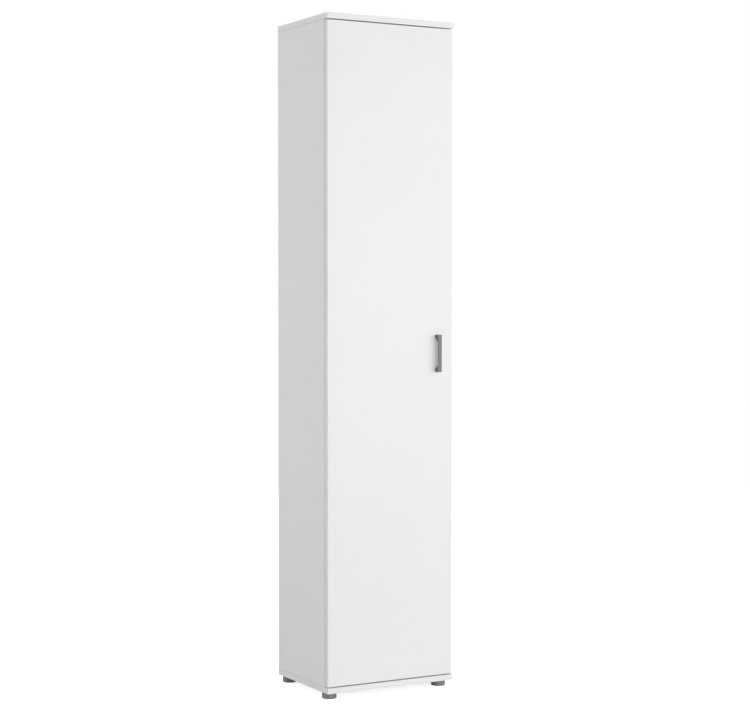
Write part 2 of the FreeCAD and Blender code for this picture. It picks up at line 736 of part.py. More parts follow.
def make_bracket():
    body = new_body("wall_bracket", ("0", back_y, ceiling_z))
    sketch = new_sketch(body, "YZ_Plane")
    sheet_in = "(-Sizes.bracket_sheet)"
    leg_end = "(-Sizes.bracket_leg)"
    add_outline(sketch, [("0", "0"), (leg_end, "0"), (leg_end, sheet_in), (sheet_in, sheet_in),
                         (sheet_in, leg_end), ("0", leg_end)])
    pad(body, sketch, "Sizes.bracket_width", symmetric=True)
    sketch = new_sketch(body, "XZ_Plane")
    add_circle(sketch, "0", "(-Sizes.bracket_hole_drop)", "Sizes.bracket_hole")
    pocket(body, sketch, "(2 * Sizes.bracket_sheet)", symmetric=True)
    sketch = new_sketch(body, "XY_Plane")
    for sign in ("-", ""):
        add_circle(sketch, f"{sign}(Sizes.bracket_width / 4)", "(-0.6 * Sizes.bracket_leg)",
                   "(Sizes.screw_radius + Sizes.fit)")
    pocket(body, sketch, "(2 * Sizes.bracket_sheet)", symmetric=True)
    screws = []
    for place in bracket_screw_places():
        seat = place - Z * (s.bracket_sheet + s.head_height)
        length = s.bracket_sheet + s.head_height + s.screw_bite
        screws.append(screw(seat, Z, s.screw_radius, length, s.screw_head_radius, countersunk=False))
    fixed_shape("wall_bracket_screws", Part.makeCompound(screws))


# ---------------------------------------------------------------- door


def cup_screw_places():
    for place in hinge_places.values():
        for side in sides:
            yield place + Vector(s.cup_screw_shift, 0, side * s.cup_screw_rise)


def make_door():
    blank = box("door_panel_blank", (door_width, "Sizes.door_thickness", door_height),
                (door_left_x, door_front_y, door_z))
    bores = []
    for place in hinge_places.values():
        bores.append(bore(place, -Y, s.cup_radius + s.fit, s.cup_depth + s.fit))
    for place in cup_screw_places():
        bores.append(bore(place, -Y, s.screw_radius + s.fit, cup_screw_bite() + s.fit))
    for place in handle_screw_places:
        bores.append(bore(place, -Y, s.screw_radius + s.fit, s.door_thickness))
    keep(drilled("door_panel", blank, bores), "door_panel")


def cup_screw_bite():
    """cup screws stop short of the door's front face"""
    return 0.75 * s.door_thickness


def make_handle():
    """flat bow on two legs that run into it in a wide curve"""
    body = new_body("door_handle", (handle_x, door_front_y, handle_z))
    sketch = new_sketch(body, "YZ_Plane")
    end = "(Sizes.handle_spacing / 2 + Sizes.handle_overhang)"
    leg = f"({end} - Sizes.handle_leg)"
    front = "(-Sizes.handle_projection)"
    bow_back = "(Sizes.handle_bar - Sizes.handle_projection)"
    add_outline(sketch, [
        ("0", f"-{end}"), (front, f"-{end}"), (front, end), ("0", end),
        ("0", leg), (bow_back, leg), (bow_back, f"-{leg}"), ("0", f"-{leg}"),
    ])
    bow = pad(body, sketch, "Sizes.handle_width", symmetric=True)
    back_y_local = s.handle_bar - s.handle_projection

    def inner_corner(edge):
        return is_line_along(edge, X) and abs(middle(edge).y - back_y_local) < 1e-6

    def outer_corner(edge):
        return is_line_along(edge, X) and abs(middle(edge).y + s.handle_projection) < 1e-6

    def front_edge(edge):
        return is_line_along(edge, Z) and abs(middle(edge).y + s.handle_projection) < 1e-6

    bow = soften(body, bow, inner_corner, "Sizes.handle_curve")
    bow = soften(body, bow, outer_corner, "Sizes.handle_corner")
    bow = soften(body, bow, front_edge, "Sizes.handle_edge")
    sketch = new_sketch(body, "XZ_Plane")
    for sign in ("-", ""):
        add_circle(sketch, "0", f"{sign}(Sizes.handle_spacing / 2)", "(Sizes.screw_radius + Sizes.fit)")
    pocket(body, sketch, "(Sizes.head_height + Sizes.handle_leg / 2)", reverse=True)
    screws = []
    for place in handle_screw_places:
        seat = place + Y * s.head_height
        length = s.head_height + s.door_thickness + s.handle_leg / 2
        screws.append(screw(seat, -Y, s.screw_radius, length, s.screw_head_radius, countersunk=False))
    fixed_shape("handle_screws", Part.makeCompound(screws))


def make_bumpers():
    """soft dots on the door, opposite the front edge of the right side panel"""
    thickness = s.door_gap - s.seat
    dots = []
    for end_z in (number(door_z) + s.hinge_end / 2, number(door_z) + number(door_height) - s.hinge_end / 2):
        place = Vector(board_mid_x, door_inner_y, end_z)
        dot = Part.makeCone(s.bumper_radius, s.bumper_radius * 0.7, thickness, place, Y)
        dots.append(dot)
    fixed_shape("door_bumpers", Part.makeCompound(dots))


# ---------------------------------------------------------------- concealed hinges
# Each hinge's own frame: origin at the cup centre on the door's inner face,
# X towards the door's free edge, Y to the back.


def make_cup(n):
    """deep-drawn cup with a rim, two screw wings and two cheeks that carry the pivot pins"""
    body = new_body(f"hinge_{n}_cup", (cup_x, door_back_y, hinge_heights[n]))
    sketch = new_sketch(body, "XZ_Plane")
    add_circle(sketch, "0", "0", "Sizes.cup_radius")
    pad(body, sketch, "Sizes.cup_depth")
    sketch = new_sketch(body, "XZ_Plane")
    add_rectangle(sketch, "(-Sizes.wing_near)", "(-Sizes.wing_rise)", "Sizes.wing_far", "Sizes.wing_rise")
    wings = pad(body, sketch, "Sizes.cup_wall", reverse=True)
    far_ends = number("(Sizes.wing_rise)")

    def wing_corner(edge):
        return is_line_along(edge, Y) and abs(abs(middle(edge).z) - far_ends) < 1e-6

    soften(body, wings, wing_corner, "Sizes.wing_corner")
    sketch = new_sketch(body, "XZ_Plane")
    add_circle(sketch, "0", "0", "Sizes.flange_radius")
    pad(body, sketch, "Sizes.cup_wall", reverse=True)
    sketch = new_sketch(body, "XZ_Plane", "(-Sizes.cup_wall)")
    add_circle(sketch, "0", "0", "(Sizes.cup_radius - Sizes.cup_wall)")
    pocket(body, sketch, "Sizes.cup_depth", reverse=True)
    sketch = new_sketch(body, "XZ_Plane", "(-Sizes.cup_wall)")
    add_rectangle(sketch, "(-Sizes.cup_edge)", "(-Sizes.rim_gap / 2)",
                  "(-Sizes.cheek_end)", "(Sizes.rim_gap / 2)")
    pocket(body, sketch, "Sizes.rim_gap_depth", reverse=True)
    floor = "(Sizes.cup_wall - Sizes.cup_depth)"
    for offset in (arm_half, f"(-{arm_half} - Sizes.cheek_sheet)"):
        sketch = new_sketch(body, "XY_Plane", offset)
        add_rectangle(sketch, "(-Sizes.cheek_end)", floor, "(-Sizes.cheek_start)", "(-Sizes.cheek_top)")
        pad(body, sketch, "Sizes.cheek_sheet")
    sketch = new_sketch(body, "XY_Plane")
    for x, y in (("Sizes.outer_cup_x", "Sizes.outer_cup_y"), ("Sizes.inner_cup_x", "Sizes.inner_cup_y")):
        add_circle(sketch, x, y, "(Sizes.cup_pin_radius + Sizes.fit)")
    pocket(body, sketch, f"(2 * ({arm_half} + Sizes.cheek_sheet))", symmetric=True)
    sketch = new_sketch(body, "XZ_Plane")
    for sign in ("-", ""):
        screw_z = f"{sign}Sizes.cup_screw_rise"
        add_circle(sketch, "Sizes.cup_screw_shift", screw_z, "(Sizes.screw_radius + Sizes.fit)")
    pocket(body, sketch, "(2 * Sizes.cup_wall)", symmetric=True)


def make_arm(n):
    """channel of bent sheet, straddling the mounting plate, with two pivot lugs at its front"""
    body = new_body(f"hinge_{n}_arm", (cup_x, door_back_y, hinge_heights[n]))
    sketch = new_sketch(body, "XY_Plane")
    lug_x = "(Sizes.outer_arm_x + Sizes.lug_radius)"
    tip_low = "(Sizes.inner_arm_y - Sizes.tip_radius)"
    add_outline(sketch, [
        (arm_foot_x, "Sizes.arm_rear"),
        (arm_foot_x, "Sizes.arm_front_foot"),
        ("(Sizes.inner_arm_x - Sizes.tip_radius)", "Sizes.inner_arm_y"),
        ("(Sizes.inner_arm_x - Sizes.tip_radius)", tip_low),
        ("(Sizes.inner_arm_x + Sizes.tip_radius)", tip_low),
        ("(Sizes.inner_arm_x + Sizes.tip_radius)", "Sizes.inner_arm_y"),
        (lug_x, "(Sizes.outer_arm_y - Sizes.lug_radius)"),
        (lug_x, "(Sizes.outer_arm_y + Sizes.lug_radius)"),
        ("Sizes.arm_top", "Sizes.arm_neck"),
        ("Sizes.arm_top", "Sizes.arm_rear"),
    ])
    outer_width = f"(2 * ({arm_half} + Sizes.arm_sheet))"
    flat = pad(body, sketch, outer_width, symmetric=True)

    def tip_corner(edge):
        return is_line_along(edge, Z) and abs(middle(edge).y - number(tip_low)) < 1e-6

    def lug_corner(edge):
        return is_line_along(edge, Z) and abs(middle(edge).x - number(lug_x)) < 1e-6

    flat = soften(body, flat, tip_corner, "(Sizes.tip_radius - Sizes.seat)")
    soften(body, flat, lug_corner, "(Sizes.lug_radius - Sizes.seat)")
    # the channel: all that lies under the web, and everything in front of the web's end
    sketch = new_sketch(body, "XY_Plane")
    web_low = "(Sizes.arm_top - Sizes.arm_sheet)"
    web_end_y = "(Sizes.outer_arm_y + Sizes.lug_radius + Sizes.arm_sheet)"
    lug_top = "(Sizes.outer_arm_x + Sizes.lug_radius)"
    lug_rear = "(Sizes.outer_arm_y + Sizes.lug_radius)"
    rise = f"(({lug_top} - Sizes.arm_top) / (Sizes.arm_neck - {lug_rear}))"
    web_end_x = f"({web_low} + {rise} * (Sizes.arm_neck - {web_end_y}) - Sizes.seat)"
    clear_rear = "(Sizes.arm_rear + Sizes.arm_sheet)"
    clear_front = f"({tip_low} - Sizes.arm_sheet)"
    clear_left = f"({arm_foot_x} - Sizes.arm_sheet)"
    clear_right = f"({lug_x} + Sizes.arm_sheet)"
    add_outline(sketch, [
        (clear_left, clear_rear), (clear_left, clear_front), (clear_right, clear_front),
        (clear_right, web_end_y), (web_end_x, web_end_y), (web_low, "(Sizes.arm_neck - Sizes.arm_sheet / 2)"),
        (web_low, clear_rear),
    ])
    pocket(body, sketch, f"(2 * {arm_half})", symmetric=True)
    sketch = new_sketch(body, "XY_Plane")
    for x, y in (("Sizes.outer_arm_x", "Sizes.outer_arm_y"), ("Sizes.inner_arm_x", "Sizes.inner_arm_y")):
        add_circle(sketch, x, y, "(Sizes.arm_pin_radius + Sizes.fit)")
    pocket(body, sketch, outer_width, symmetric=True)
    sketch = new_sketch(body, "YZ_Plane", web_low)
    for sign in ("-", "+"):
        screw_y = f"({plate_y} {sign} Sizes.arm_screw_shift)"
        add_circle(sketch, screw_y, "0", "(Sizes.arm_screw_radius + Sizes.fit)")
    pocket(body, sketch, "(2 * Sizes.arm_sheet)", symmetric=True)


def make_plate(n):
    """cross-shaped plate on the side panel, with a raised rail for the arm"""
    body = new_body(f"hinge_{n}_mounting_plate", (cup_x, door_back_y, hinge_heights[n]))
    sketch = new_sketch(body, "YZ_Plane", plate_x)
    add_rectangle(sketch, f"({plate_y} - Sizes.plate_wing)", "(-Sizes.plate_wing_rise)",
                  f"({plate_y} + Sizes.plate_wing)", "Sizes.plate_wing_rise")
    wings = pad(body, sketch, "Sizes.plate_sheet")

    def wing_corner(edge):
        return is_line_along(edge, X) and abs(abs(middle(edge).z) - s.plate_wing_rise) < 1e-6

    soften(body, wings, wing_corner, "(Sizes.plate_wing - Sizes.seat)")
    sketch = new_sketch(body, "YZ_Plane", plate_x)
    rail_half = "(Sizes.link_width / 2)"
    rail_start, rail_end = f"({plate_y} - Sizes.plate_rail)", f"({plate_y} + Sizes.plate_rail)"
    add_rectangle(sketch, rail_start, f"-{rail_half}", rail_end, rail_half)
    pad(body, sketch, f"({rail_top_x} - {plate_x})")
    sketch = new_sketch(body, "YZ_Plane", rail_top_x)
    for sign in ("-", "+"):
        screw_y = f"({plate_y} {sign} Sizes.arm_screw_shift)"
        add_circle(sketch, screw_y, "0", "(Sizes.arm_screw_radius + Sizes.fit)")
    pocket(body, sketch, "(Sizes.arm_screw_bite + Sizes.fit)")
    sketch = new_sketch(body, "YZ_Plane", plate_x)
    for sign in ("-", ""):
        add_circle(sketch, plate_y, f"{sign}Sizes.plate_screw_rise", "(Sizes.screw_radius + Sizes.fit)")
    pocket(body, sketch, "Sizes.plate_sheet", reverse=True)


def link_point(name):
    """one of the hinge's named points"""
    return Vector(number(f"Sizes.{name}_x"), number(f"Sizes.{name}_y"), 0)


def bent_strip(points, thickness, low, high):
    """sheet bent along the points, between two heights"""
    face = Part.makePolygon(points).makeOffset2D(thickness / 2, 0, True, False, False)
    face.translate(Z * low)
    return face.extrude(Z * (high - low))


def centred_rod(centre, radius, width):
    return Part.makeCylinder(radius, width, centre - Z * (width / 2), Z)


def make_outer_link(n):
    """goose-necked strap with a rolled eye at each end, the one in the arm as wide as the arm"""
    arm_pivot = link_point("outer_arm")
    cup_pivot = link_point("outer_cup")
    path = [arm_pivot, link_point("neck_high"), link_point("neck_low"), cup_pivot]
    half = s.strap_width / 2
    arm_bore = s.arm_pin_radius + s.fit
    cup_bore = s.cup_pin_radius + s.fit
    shape = bent_strip(path, s.link_sheet, -half, half)
    shape = shape.fuse([
        centred_rod(arm_pivot, arm_bore + s.eye_wall, s.link_width),
        centred_rod(cup_pivot, cup_bore + s.eye_wall, s.strap_width),
    ]).removeSplitter()
    shape = shape.cut([
        centred_rod(arm_pivot, arm_bore, 2 * s.link_width),
        centred_rod(cup_pivot, cup_bore, 2 * s.link_width),
    ])
    link = fixed_shape(f"hinge_{n}_outer_link", shape)
    put(link, (cup_x, door_back_y, hinge_heights[n]))


def make_inner_link(n):
    """bowed channel; its eye in the cup is wide, so that the pin has play there"""
    arm_pivot = link_point("inner_arm")
    bow = link_point("bow")
    open_eye = link_point("open_eye")
    arm_bore = s.arm_pin_radius + s.fit
    parts = []
    eyes = ((arm_pivot, arm_bore + s.eye_wall), (open_eye, s.open_eye_bore + s.open_eye_wall))
    outside = s.link_width / 2
    inside = outside - s.link_side
    for low in (-outside, inside):
        high = low + s.link_side
        parts.append(bent_strip([arm_pivot, bow, open_eye], s.link_sheet, low, high))
        for centre, radius in eyes:
            parts.append(Part.makeCylinder(radius, s.link_side, centre + Z * low, Z))
    into_cup = Z.cross(open_eye - bow).normalize()
    far = into_cup * (s.link_sheet / 2)
    near = into_cup * (s.link_sheet / 2 - s.link_web)
    web = Part.Face(Part.makePolygon([bow + near, bow + far, open_eye + far, open_eye + near, bow + near]))
    web.translate(Z * -inside)
    parts.append(web.extrude(Z * (2 * inside)))
    shape = parts[0].fuse(parts[1:]).removeSplitter()
    shape = shape.cut([
        centred_rod(arm_pivot, arm_bore, 2 * s.link_width),
        centred_rod(open_eye, s.open_eye_bore, 2 * s.link_width),
    ])
    link = fixed_shape(f"hinge_{n}_inner_link", shape)
    put(link, (cup_x, door_back_y, hinge_heights[n]))


def make_hinge_pins():
    """through pins, and short rivets for the inner link that let the strap pass between them"""
    arm_outside = number(arm_half) + s.arm_sheet
    rivet_start = s.link_width / 2 - s.link_side - s.seat
    arm_pins = []
    cup_pins = []
    for place in hinge_places.values():
        arm_pins.append(centred_rod(place + link_point("outer_arm"), s.arm_pin_radius, 2 * arm_outside))
        rivet = place + link_point("inner_arm")
        for low in (-arm_outside, rivet_start):
            length = arm_outside - rivet_start
            arm_pins.append(Part.makeCylinder(s.arm_pin_radius, length, rivet + Z * low, Z))
        for name in ("outer_cup", "inner_cup"):
            length = 2 * (number(arm_half) + s.cheek_sheet)
            cup_pins.append(centred_rod(place + link_point(name), s.cup_pin_radius, length))
    fixed_shape("hinge_arm_pins", Part.makeCompound(arm_pins))
    fixed_shape("hinge_cup_pins", Part.makeCompound(cup_pins))


def make_hinge_screws():
    cup_screws = []
    for place in cup_screw_places():
        seat = place + Y * (s.cup_wall + s.head_height)
        length = s.cup_wall + s.head_height + cup_screw_bite()
        cup_screws.append(screw(seat, -Y, s.screw_radius, length, s.screw_head_radius, countersunk=False))
    fixed_shape("hinge_cup_screws", Part.makeCompound(cup_screws))
    plate_screws = []
    for place in plate_screw_places():
        seat = place + X * (s.plate_sheet + s.head_height)
        length = s.plate_sheet + s.head_height + s.screw_bite
        plate_screws.append(screw(seat, -X, s.screw_radius, length, s.screw_head_radius, countersunk=False))
    fixed_shape("hinge_plate_screws", Part.makeCompound(plate_screws))
    arm_screws = []
    for place in hinge_places.values():
        for side in sides:
            shift = Vector(s.arm_top + s.head_height, number(plate_y) + side * s.arm_screw_shift, 0)
            length = s.head_height + s.arm_sheet + s.seat + s.arm_screw_bite
            seat = place + shift
            arm_screws.append(
                screw(seat, -X, s.arm_screw_radius, length, s.arm_screw_head, countersunk=False)
            )
    fixed_shape("hinge_arm_screws", Part.makeCompound(arm_screws))


# ---------------------------------------------------------------- build and write

make_top_and_bottom()
make_side("left_side_panel", -1)
make_side("right_side_panel", 1)
make_fixed_shelf()
make_adjustable_shelf()
make_shelf_pins()
make_back()
make_joining_strip()
make_fasteners()
make_feet()
make_bracket()
make_door()
make_handle()
make_bumpers()
for n in hinge_numbers:
    make_cup(n)
    make_arm(n)
    make_plate(n)
    make_outer_link(n)
    make_inner_link(n)
make_hinge_pins()
make_hinge_screws()
doc.recompute()

for obj in doc.Objects:
    if "Invalid" in obj.State or "Error" in obj.State:
        raise RuntimeError(f"{obj.Label} failed: {obj.State}")
for obj in kept:
    if obj.Shape.isNull() or not obj.Shape.isValid():
        raise RuntimeError(f"{obj.Label} has no valid shape")

os.makedirs("parts", exist_ok=True)
for obj in kept:
    obj.Shape.exportStep(f"parts/{obj.Label}.step")
print(len(kept), "pieces written")
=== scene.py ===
import math

import bmesh
import bpy
from mathutils import Matrix, Vector


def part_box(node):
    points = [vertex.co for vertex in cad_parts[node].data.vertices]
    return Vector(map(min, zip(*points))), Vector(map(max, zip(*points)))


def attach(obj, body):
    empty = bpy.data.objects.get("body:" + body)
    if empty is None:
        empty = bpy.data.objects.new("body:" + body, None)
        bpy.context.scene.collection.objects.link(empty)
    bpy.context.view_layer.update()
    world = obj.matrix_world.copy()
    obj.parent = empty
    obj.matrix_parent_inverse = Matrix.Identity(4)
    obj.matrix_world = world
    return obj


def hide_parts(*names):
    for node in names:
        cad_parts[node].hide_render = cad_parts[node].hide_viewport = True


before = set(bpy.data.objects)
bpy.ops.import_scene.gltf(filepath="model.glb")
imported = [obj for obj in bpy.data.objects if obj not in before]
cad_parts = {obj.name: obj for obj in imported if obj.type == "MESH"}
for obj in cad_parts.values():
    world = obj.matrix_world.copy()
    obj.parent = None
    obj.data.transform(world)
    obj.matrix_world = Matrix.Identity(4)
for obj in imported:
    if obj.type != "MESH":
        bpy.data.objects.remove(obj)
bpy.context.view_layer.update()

# lengths are in metres, and the angles in the dictionaries in degrees
axisX = Vector((1, 0, 0))
axisY = Vector((0, 1, 0))
axisZ = Vector((0, 0, 1))
samePoint = 1e-6  # points nearer than this are one point
nodeSpacing = (200, 170)  # columns and rows in the shader editor
noiseSpan = (0.3, 0.7)  # nearly all values of a noise texture lie in here
print("cupboard frame loaded")


# small tools for meshes

def meshOf(bm, name):
    mesh = bpy.data.meshes.new(name)
    bm.normal_update()
    bm.to_mesh(mesh)
    bm.free()
    return mesh


def endMiddle(low, high, axis, atHigh):
    # the middle of one end face of a box
    point = (low + high) / 2
    point[axis] = high[axis] if atHigh else low[axis]
    return point


def softBox(low, high, radius, steps):
    # a block with all its edges rounded
    bm = bmesh.new()
    bmesh.ops.create_cube(bm, size=1)
    size = high - low
    for vert in bm.verts:
        vert.co = low + Vector([(vert.co[i] + 0.5) * size[i] for i in range(3)])
    bmesh.ops.bevel(bm, geom=bm.edges[:], offset=radius, segments=steps, profile=0.5, affect="EDGES")
    return bm


def turned(profile, steps):
    # a turned piece about Z from (radius, height) pairs, the first and last lie on the axis
    bm = bmesh.new()
    angles = [2 * math.pi * i / steps for i in range(steps)]
    rings = []
    for radius, height in profile:
        if radius < samePoint:
            ring = [bm.verts.new((0, 0, height))]
        else:
            ring = [bm.verts.new((radius * math.cos(a), radius * math.sin(a), height)) for a in angles]
        rings.append(ring)
    for lower, upper in zip(rings, rings[1:]):
        for i in range(steps):
            j = (i + 1) % steps
            corners = [lower[i % len(lower)], lower[j % len(lower)],
                       upper[j % len(upper)], upper[i % len(upper)]]
            corners = list(dict.fromkeys(corners))
            if len(corners) > 2:
                bm.faces.new(corners)
    bmesh.ops.recalc_face_normals(bm, faces=bm.faces[:])
    return bm


def roundedProfile(corners, steps=5):
    # (across, along, rounding) corners to a line with arcs in place of the rounded ones
    profile = []
    for i, (x, y, rounding) in enumerate(corners):
        if rounding <= 0 or i in (0, len(corners) - 1):
            profile.append((x, y))
            continue
        here = Vector((x, y))
        before = (Vector(corners[i - 1][:2]) - here).normalized()
        after = (Vector(corners[i + 1][:2]) - here).normalized()
        half = math.acos(max(-1, min(1, before.dot(after)))) / 2
        reach = rounding / math.tan(half)
        centre = here + (before + after).normalized() * (rounding / math.sin(half))
        start = here + before * reach - centre
        end = here + after * reach - centre
        turn = math.atan2(start.x * end.y - start.y * end.x, start.dot(end))
        for k in range(steps + 1):
            c = math.cos(turn * k / steps)
            s = math.sin(turn * k / steps)
            profile.append((centre.x + start.x * c - start.y * s, centre.y + start.x * s + start.y * c))
    return profile


def placed(mesh, places):
    # copies of a mesh in one, its Z turned to each direction, its origin at each point
    bm = bmesh.new()
    for point, direction in places:
        turn = axisZ.rotation_difference(direction).to_matrix().to_4x4()
        copy = mesh.copy()
        copy.transform(Matrix.Translation(point) @ turn)
        bm.from_mesh(copy)
        bpy.data.meshes.remove(copy)
    return bm


def evaluated(piece):
    # gives the piece its mesh with the modifiers applied
    bpy.context.view_layer.update()
    depsgraph = bpy.context.evaluated_depsgraph_get()
    mesh = bpy.data.meshes.new_from_object(piece.evaluated_get(depsgraph))
    mesh.name = piece.name
    piece.modifiers.clear()
    piece.data = mesh
    return piece


def cutAway(piece, cutter):
    # takes the cutter's volume out of the piece
    tool = bpy.data.objects.new("cutter", cutter)
    bpy.context.scene.collection.objects.link(tool)
    cut = piece.modifiers.new("cut", "BOOLEAN")
    cut.operation = "DIFFERENCE"
    cut.solver = "EXACT"
    cut.object = tool
    evaluated(piece)
    bpy.data.objects.remove(tool)
    bpy.data.meshes.remove(cutter)


def roundHoles(holes, steps=48):
    # cutter with a cylinder for each (mouth, direction into the board, radius, depth)
    above = 0.001  # each cylinder starts this far outside the board
    bm = bmesh.new()
    for mouth, direction, radius, depth in holes:
        turn = axisZ.rotation_difference(direction).to_matrix().to_4x4()
        middle = mouth + direction * ((depth - above) / 2)
        bmesh.ops.create_cone(bm, cap_ends=True, segments=steps, radius1=radius, radius2=radius,
                              depth=depth + above, matrix=Matrix.Translation(middle) @ turn)
    return meshOf(bm, "holes")


def shadeByAngle(piece, degrees=32):
    # smooth faces that meet in sharp lines above the angle
    piece.data.polygons.foreach_set("use_smooth", [True] * len(piece.data.polygons))
    piece.data.set_sharp_from_angle(angle=math.radians(degrees))
    weighted = piece.modifiers.new("normals", "WEIGHTED_NORMAL")
    weighted.keep_sharp = True
    return evaluated(piece)


def addPiece(name, mesh, materials, body, replaced=()):
    piece = bpy.data.objects.new(name, mesh)
    bpy.context.scene.collection.objects.link(piece)
    for material in materials:
        piece.data.materials.append(material)
    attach(piece, body)
    if replaced:
        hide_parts(*replaced)
    return piece


def solidsOf(node):
    # lowest and highest corner of each separate solid in a node
    bm = bmesh.new()
    bm.from_mesh(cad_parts[node].data)
    bmesh.ops.remove_doubles(bm, verts=bm.verts[:], dist=samePoint)
    left = set(bm.verts)
    boxes = []
    while left:
        front = [left.pop()]
        points = []
        while front:
            vert = front.pop()
            points.append(vert.co.copy())
            for edge in vert.link_edges:
                other = edge.other_vert(vert)
                if other in left:
                    left.remove(other)
                    front.append(other)
        low = Vector([min(p[i] for p in points) for i in range(3)])
        high = Vector([max(p[i] for p in points) for i in range(3)])
        boxes.append((low, high))
    bm.free()
    return sorted(boxes, key=lambda box: tuple(round(v, 5) for v in box[0]))


# small tools for materials

def addNode(tree, kind, place, **values):
    node = tree.nodes.new(kind)
    node.location = (place[0] * nodeSpacing[0], place[1] * nodeSpacing[1])
    for key, value in values.items():
        setattr(node, key, value)
    return node


def feed(tree, value, socket):
    # gives a socket a number, a vector, a colour of three numbers, or another socket's output
    if isinstance(value, bpy.types.NodeSocket):
        tree.links.new(value, socket)
    elif isinstance(value, tuple) and len(value) < len(socket.default_value):
        socket.default_value = (*value, 1)
    else:
        socket.default_value = value


def maths(tree, operation, place, *values, kind="ShaderNodeMath"):
    node = addNode(tree, kind, place, operation=operation)
    for value, socket in zip(values, node.inputs):
        feed(tree, value, socket)
    return node.outputs[0]


def vectorMaths(tree, operation, place, *values):
    return maths(tree, operation, place, *values, kind="ShaderNodeVectorMath")


def ranged(tree, place, value, span, low, high, smooth=False):
    # turns the values of a span into low to high
    node = addNode(tree, "ShaderNodeMapRange", place)
    if smooth:
        node.interpolation_type = "SMOOTHSTEP"
    limits = {"Value": value, "From Min": span[0], "From Max": span[1], "To Min": low, "To Max": high}
    for label, number in limits.items():
        feed(tree, number, node.inputs[label])
    return node.outputs["Result"]


def noise(tree, place, vector, scale, detail, roughness=0.5):
    node = addNode(tree, "ShaderNodeTexNoise", place)
    for label, value in {"Vector": vector, "Scale": scale, "Detail": detail, "Roughness": roughness}.items():
        feed(tree, value, node.inputs[label])
    return node.outputs["Fac"]


def tinted(tree, place, kind, factor, first, second):
    # two colours mixed or multiplied
    node = addNode(tree, "ShaderNodeMix", place, data_type="RGBA", blend_type=kind)
    for value, number in ((factor, 0), (first, 6), (second, 7)):  # the node's colour sockets are 6 and 7
        feed(tree, value, node.inputs[number])
    return node.outputs[2]


def darkened(tree, place, color, mask):
    # a colour times a mask, which is 1 where the colour stays as it is
    grey = addNode(tree, "ShaderNodeCombineColor", (place[0] - 1, place[1]))
    for socket in grey.inputs:
        feed(tree, mask, socket)
    return tinted(tree, place, "MULTIPLY", 1.0, color, grey.outputs[0])


def placeInObject(tree):
    return addNode(tree, "ShaderNodeTexCoord", (-6, -3)).outputs["Object"]


def newGroup(name, inputs, outputs):
    tree = bpy.data.node_groups.new(name, "ShaderNodeTree")
    for label, kind, value in inputs:
        socket = tree.interface.new_socket(label, in_out="INPUT", socket_type="NodeSocket" + kind)
        socket.default_value = value
    for label, kind in outputs:
        tree.interface.new_socket(label, in_out="OUTPUT", socket_type="NodeSocket" + kind)
    source = addNode(tree, "NodeGroupInput", (-7, 0))
    target = addNode(tree, "NodeGroupOutput", (6, 0))
    return tree, source.outputs, target.inputs


def useGroup(tree, group, place, values):
    node = addNode(tree, "ShaderNodeGroup", place, node_tree=group)
    for label, value in values.items():
        feed(tree, value, node.inputs[label])
    return node.outputs


def newMaterial(name, values):
    # a material with its shader, the values go straight to the shader's own sockets
    material = bpy.data.materials.new(name)
    material.use_nodes = True
    tree = material.node_tree
    tree.nodes.clear()
    shader = addNode(tree, "ShaderNodeBsdfPrincipled", (4, 0))
    for label, value in values.items():
        shader.inputs[label].default_value = value
    out = addNode(tree, "ShaderNodeOutputMaterial", (6, 0))
    feed(tree, shader.outputs["BSDF"], out.inputs["Surface"])
    return material, tree, shader


def finishShader(tree, shader, color, roughness, height, look):
    # the changing colour, roughness and bump of a finish go into its shader
    feed(tree, color, shader.inputs["Base Color"])
    feed(tree, roughness, shader.inputs["Roughness"])
    bump = addNode(tree, "ShaderNodeBump", (2, -3))
    bump.inputs["Strength"].default_value = look["bumpStrength"]
    bump.inputs["Distance"].default_value = look["bumpDistance"]
    feed(tree, height, bump.inputs["Height"])
    feed(tree, bump.outputs["Normal"], shader.inputs["Normal"])


# effects that several materials share

surfaceOutputs = (("Color", "Color"), ("Roughness", "Float"), ("Height", "Float"))


def unevenRoughness(tree, mask, given, wanted):
    lowRough = maths(tree, "SUBTRACT", (-3, -1), given["Roughness"], given["Roughness Spread"])
    highRough = maths(tree, "ADD", (-3, -2), given["Roughness"], given["Roughness Spread"])
    feed(tree, ranged(tree, (-1, -1), mask, noiseSpan, lowRough, highRough), wanted["Roughness"])


filmDetail = {"blotchScale": 38.0, "pearlRoughness": 0.6}


def makeFilmSurface():
    # pressed decor film: faint clouds in the tone, a fine pearl in the surface
    tree, given, wanted = newGroup("filmSurface", (
        ("Tone", "Color", (0.8, 0.8, 0.8, 1)),
        ("Cloud", "Float", 0.02),
        ("Cloud Scale", "Float", 4.0),
        ("Pearl Scale", "Float", 900.0),
        ("Roughness", "Float", 0.4),
        ("Roughness Spread", "Float", 0.05),
    ), surfaceOutputs)
    where = placeInObject(tree)
    cloud = noise(tree, (-4, 1), where, given["Cloud Scale"], detail=3)
    lowTone = maths(tree, "SUBTRACT", (-4, 3), 1.0, given["Cloud"])
    tone = ranged(tree, (-2, 1), cloud, noiseSpan, lowTone, 1.0)
    feed(tree, darkened(tree, (1, 1), given["Tone"], tone), wanted["Color"])
    blotch = noise(tree, (-4, -1), where, filmDetail["blotchScale"], detail=2)
    unevenRoughness(tree, blotch, given, wanted)
    pearl = noise(tree, (-4, -3), where, given["Pearl Scale"], detail=2,
                  roughness=filmDetail["pearlRoughness"])
    feed(tree, pearl, wanted["Height"])
    return tree


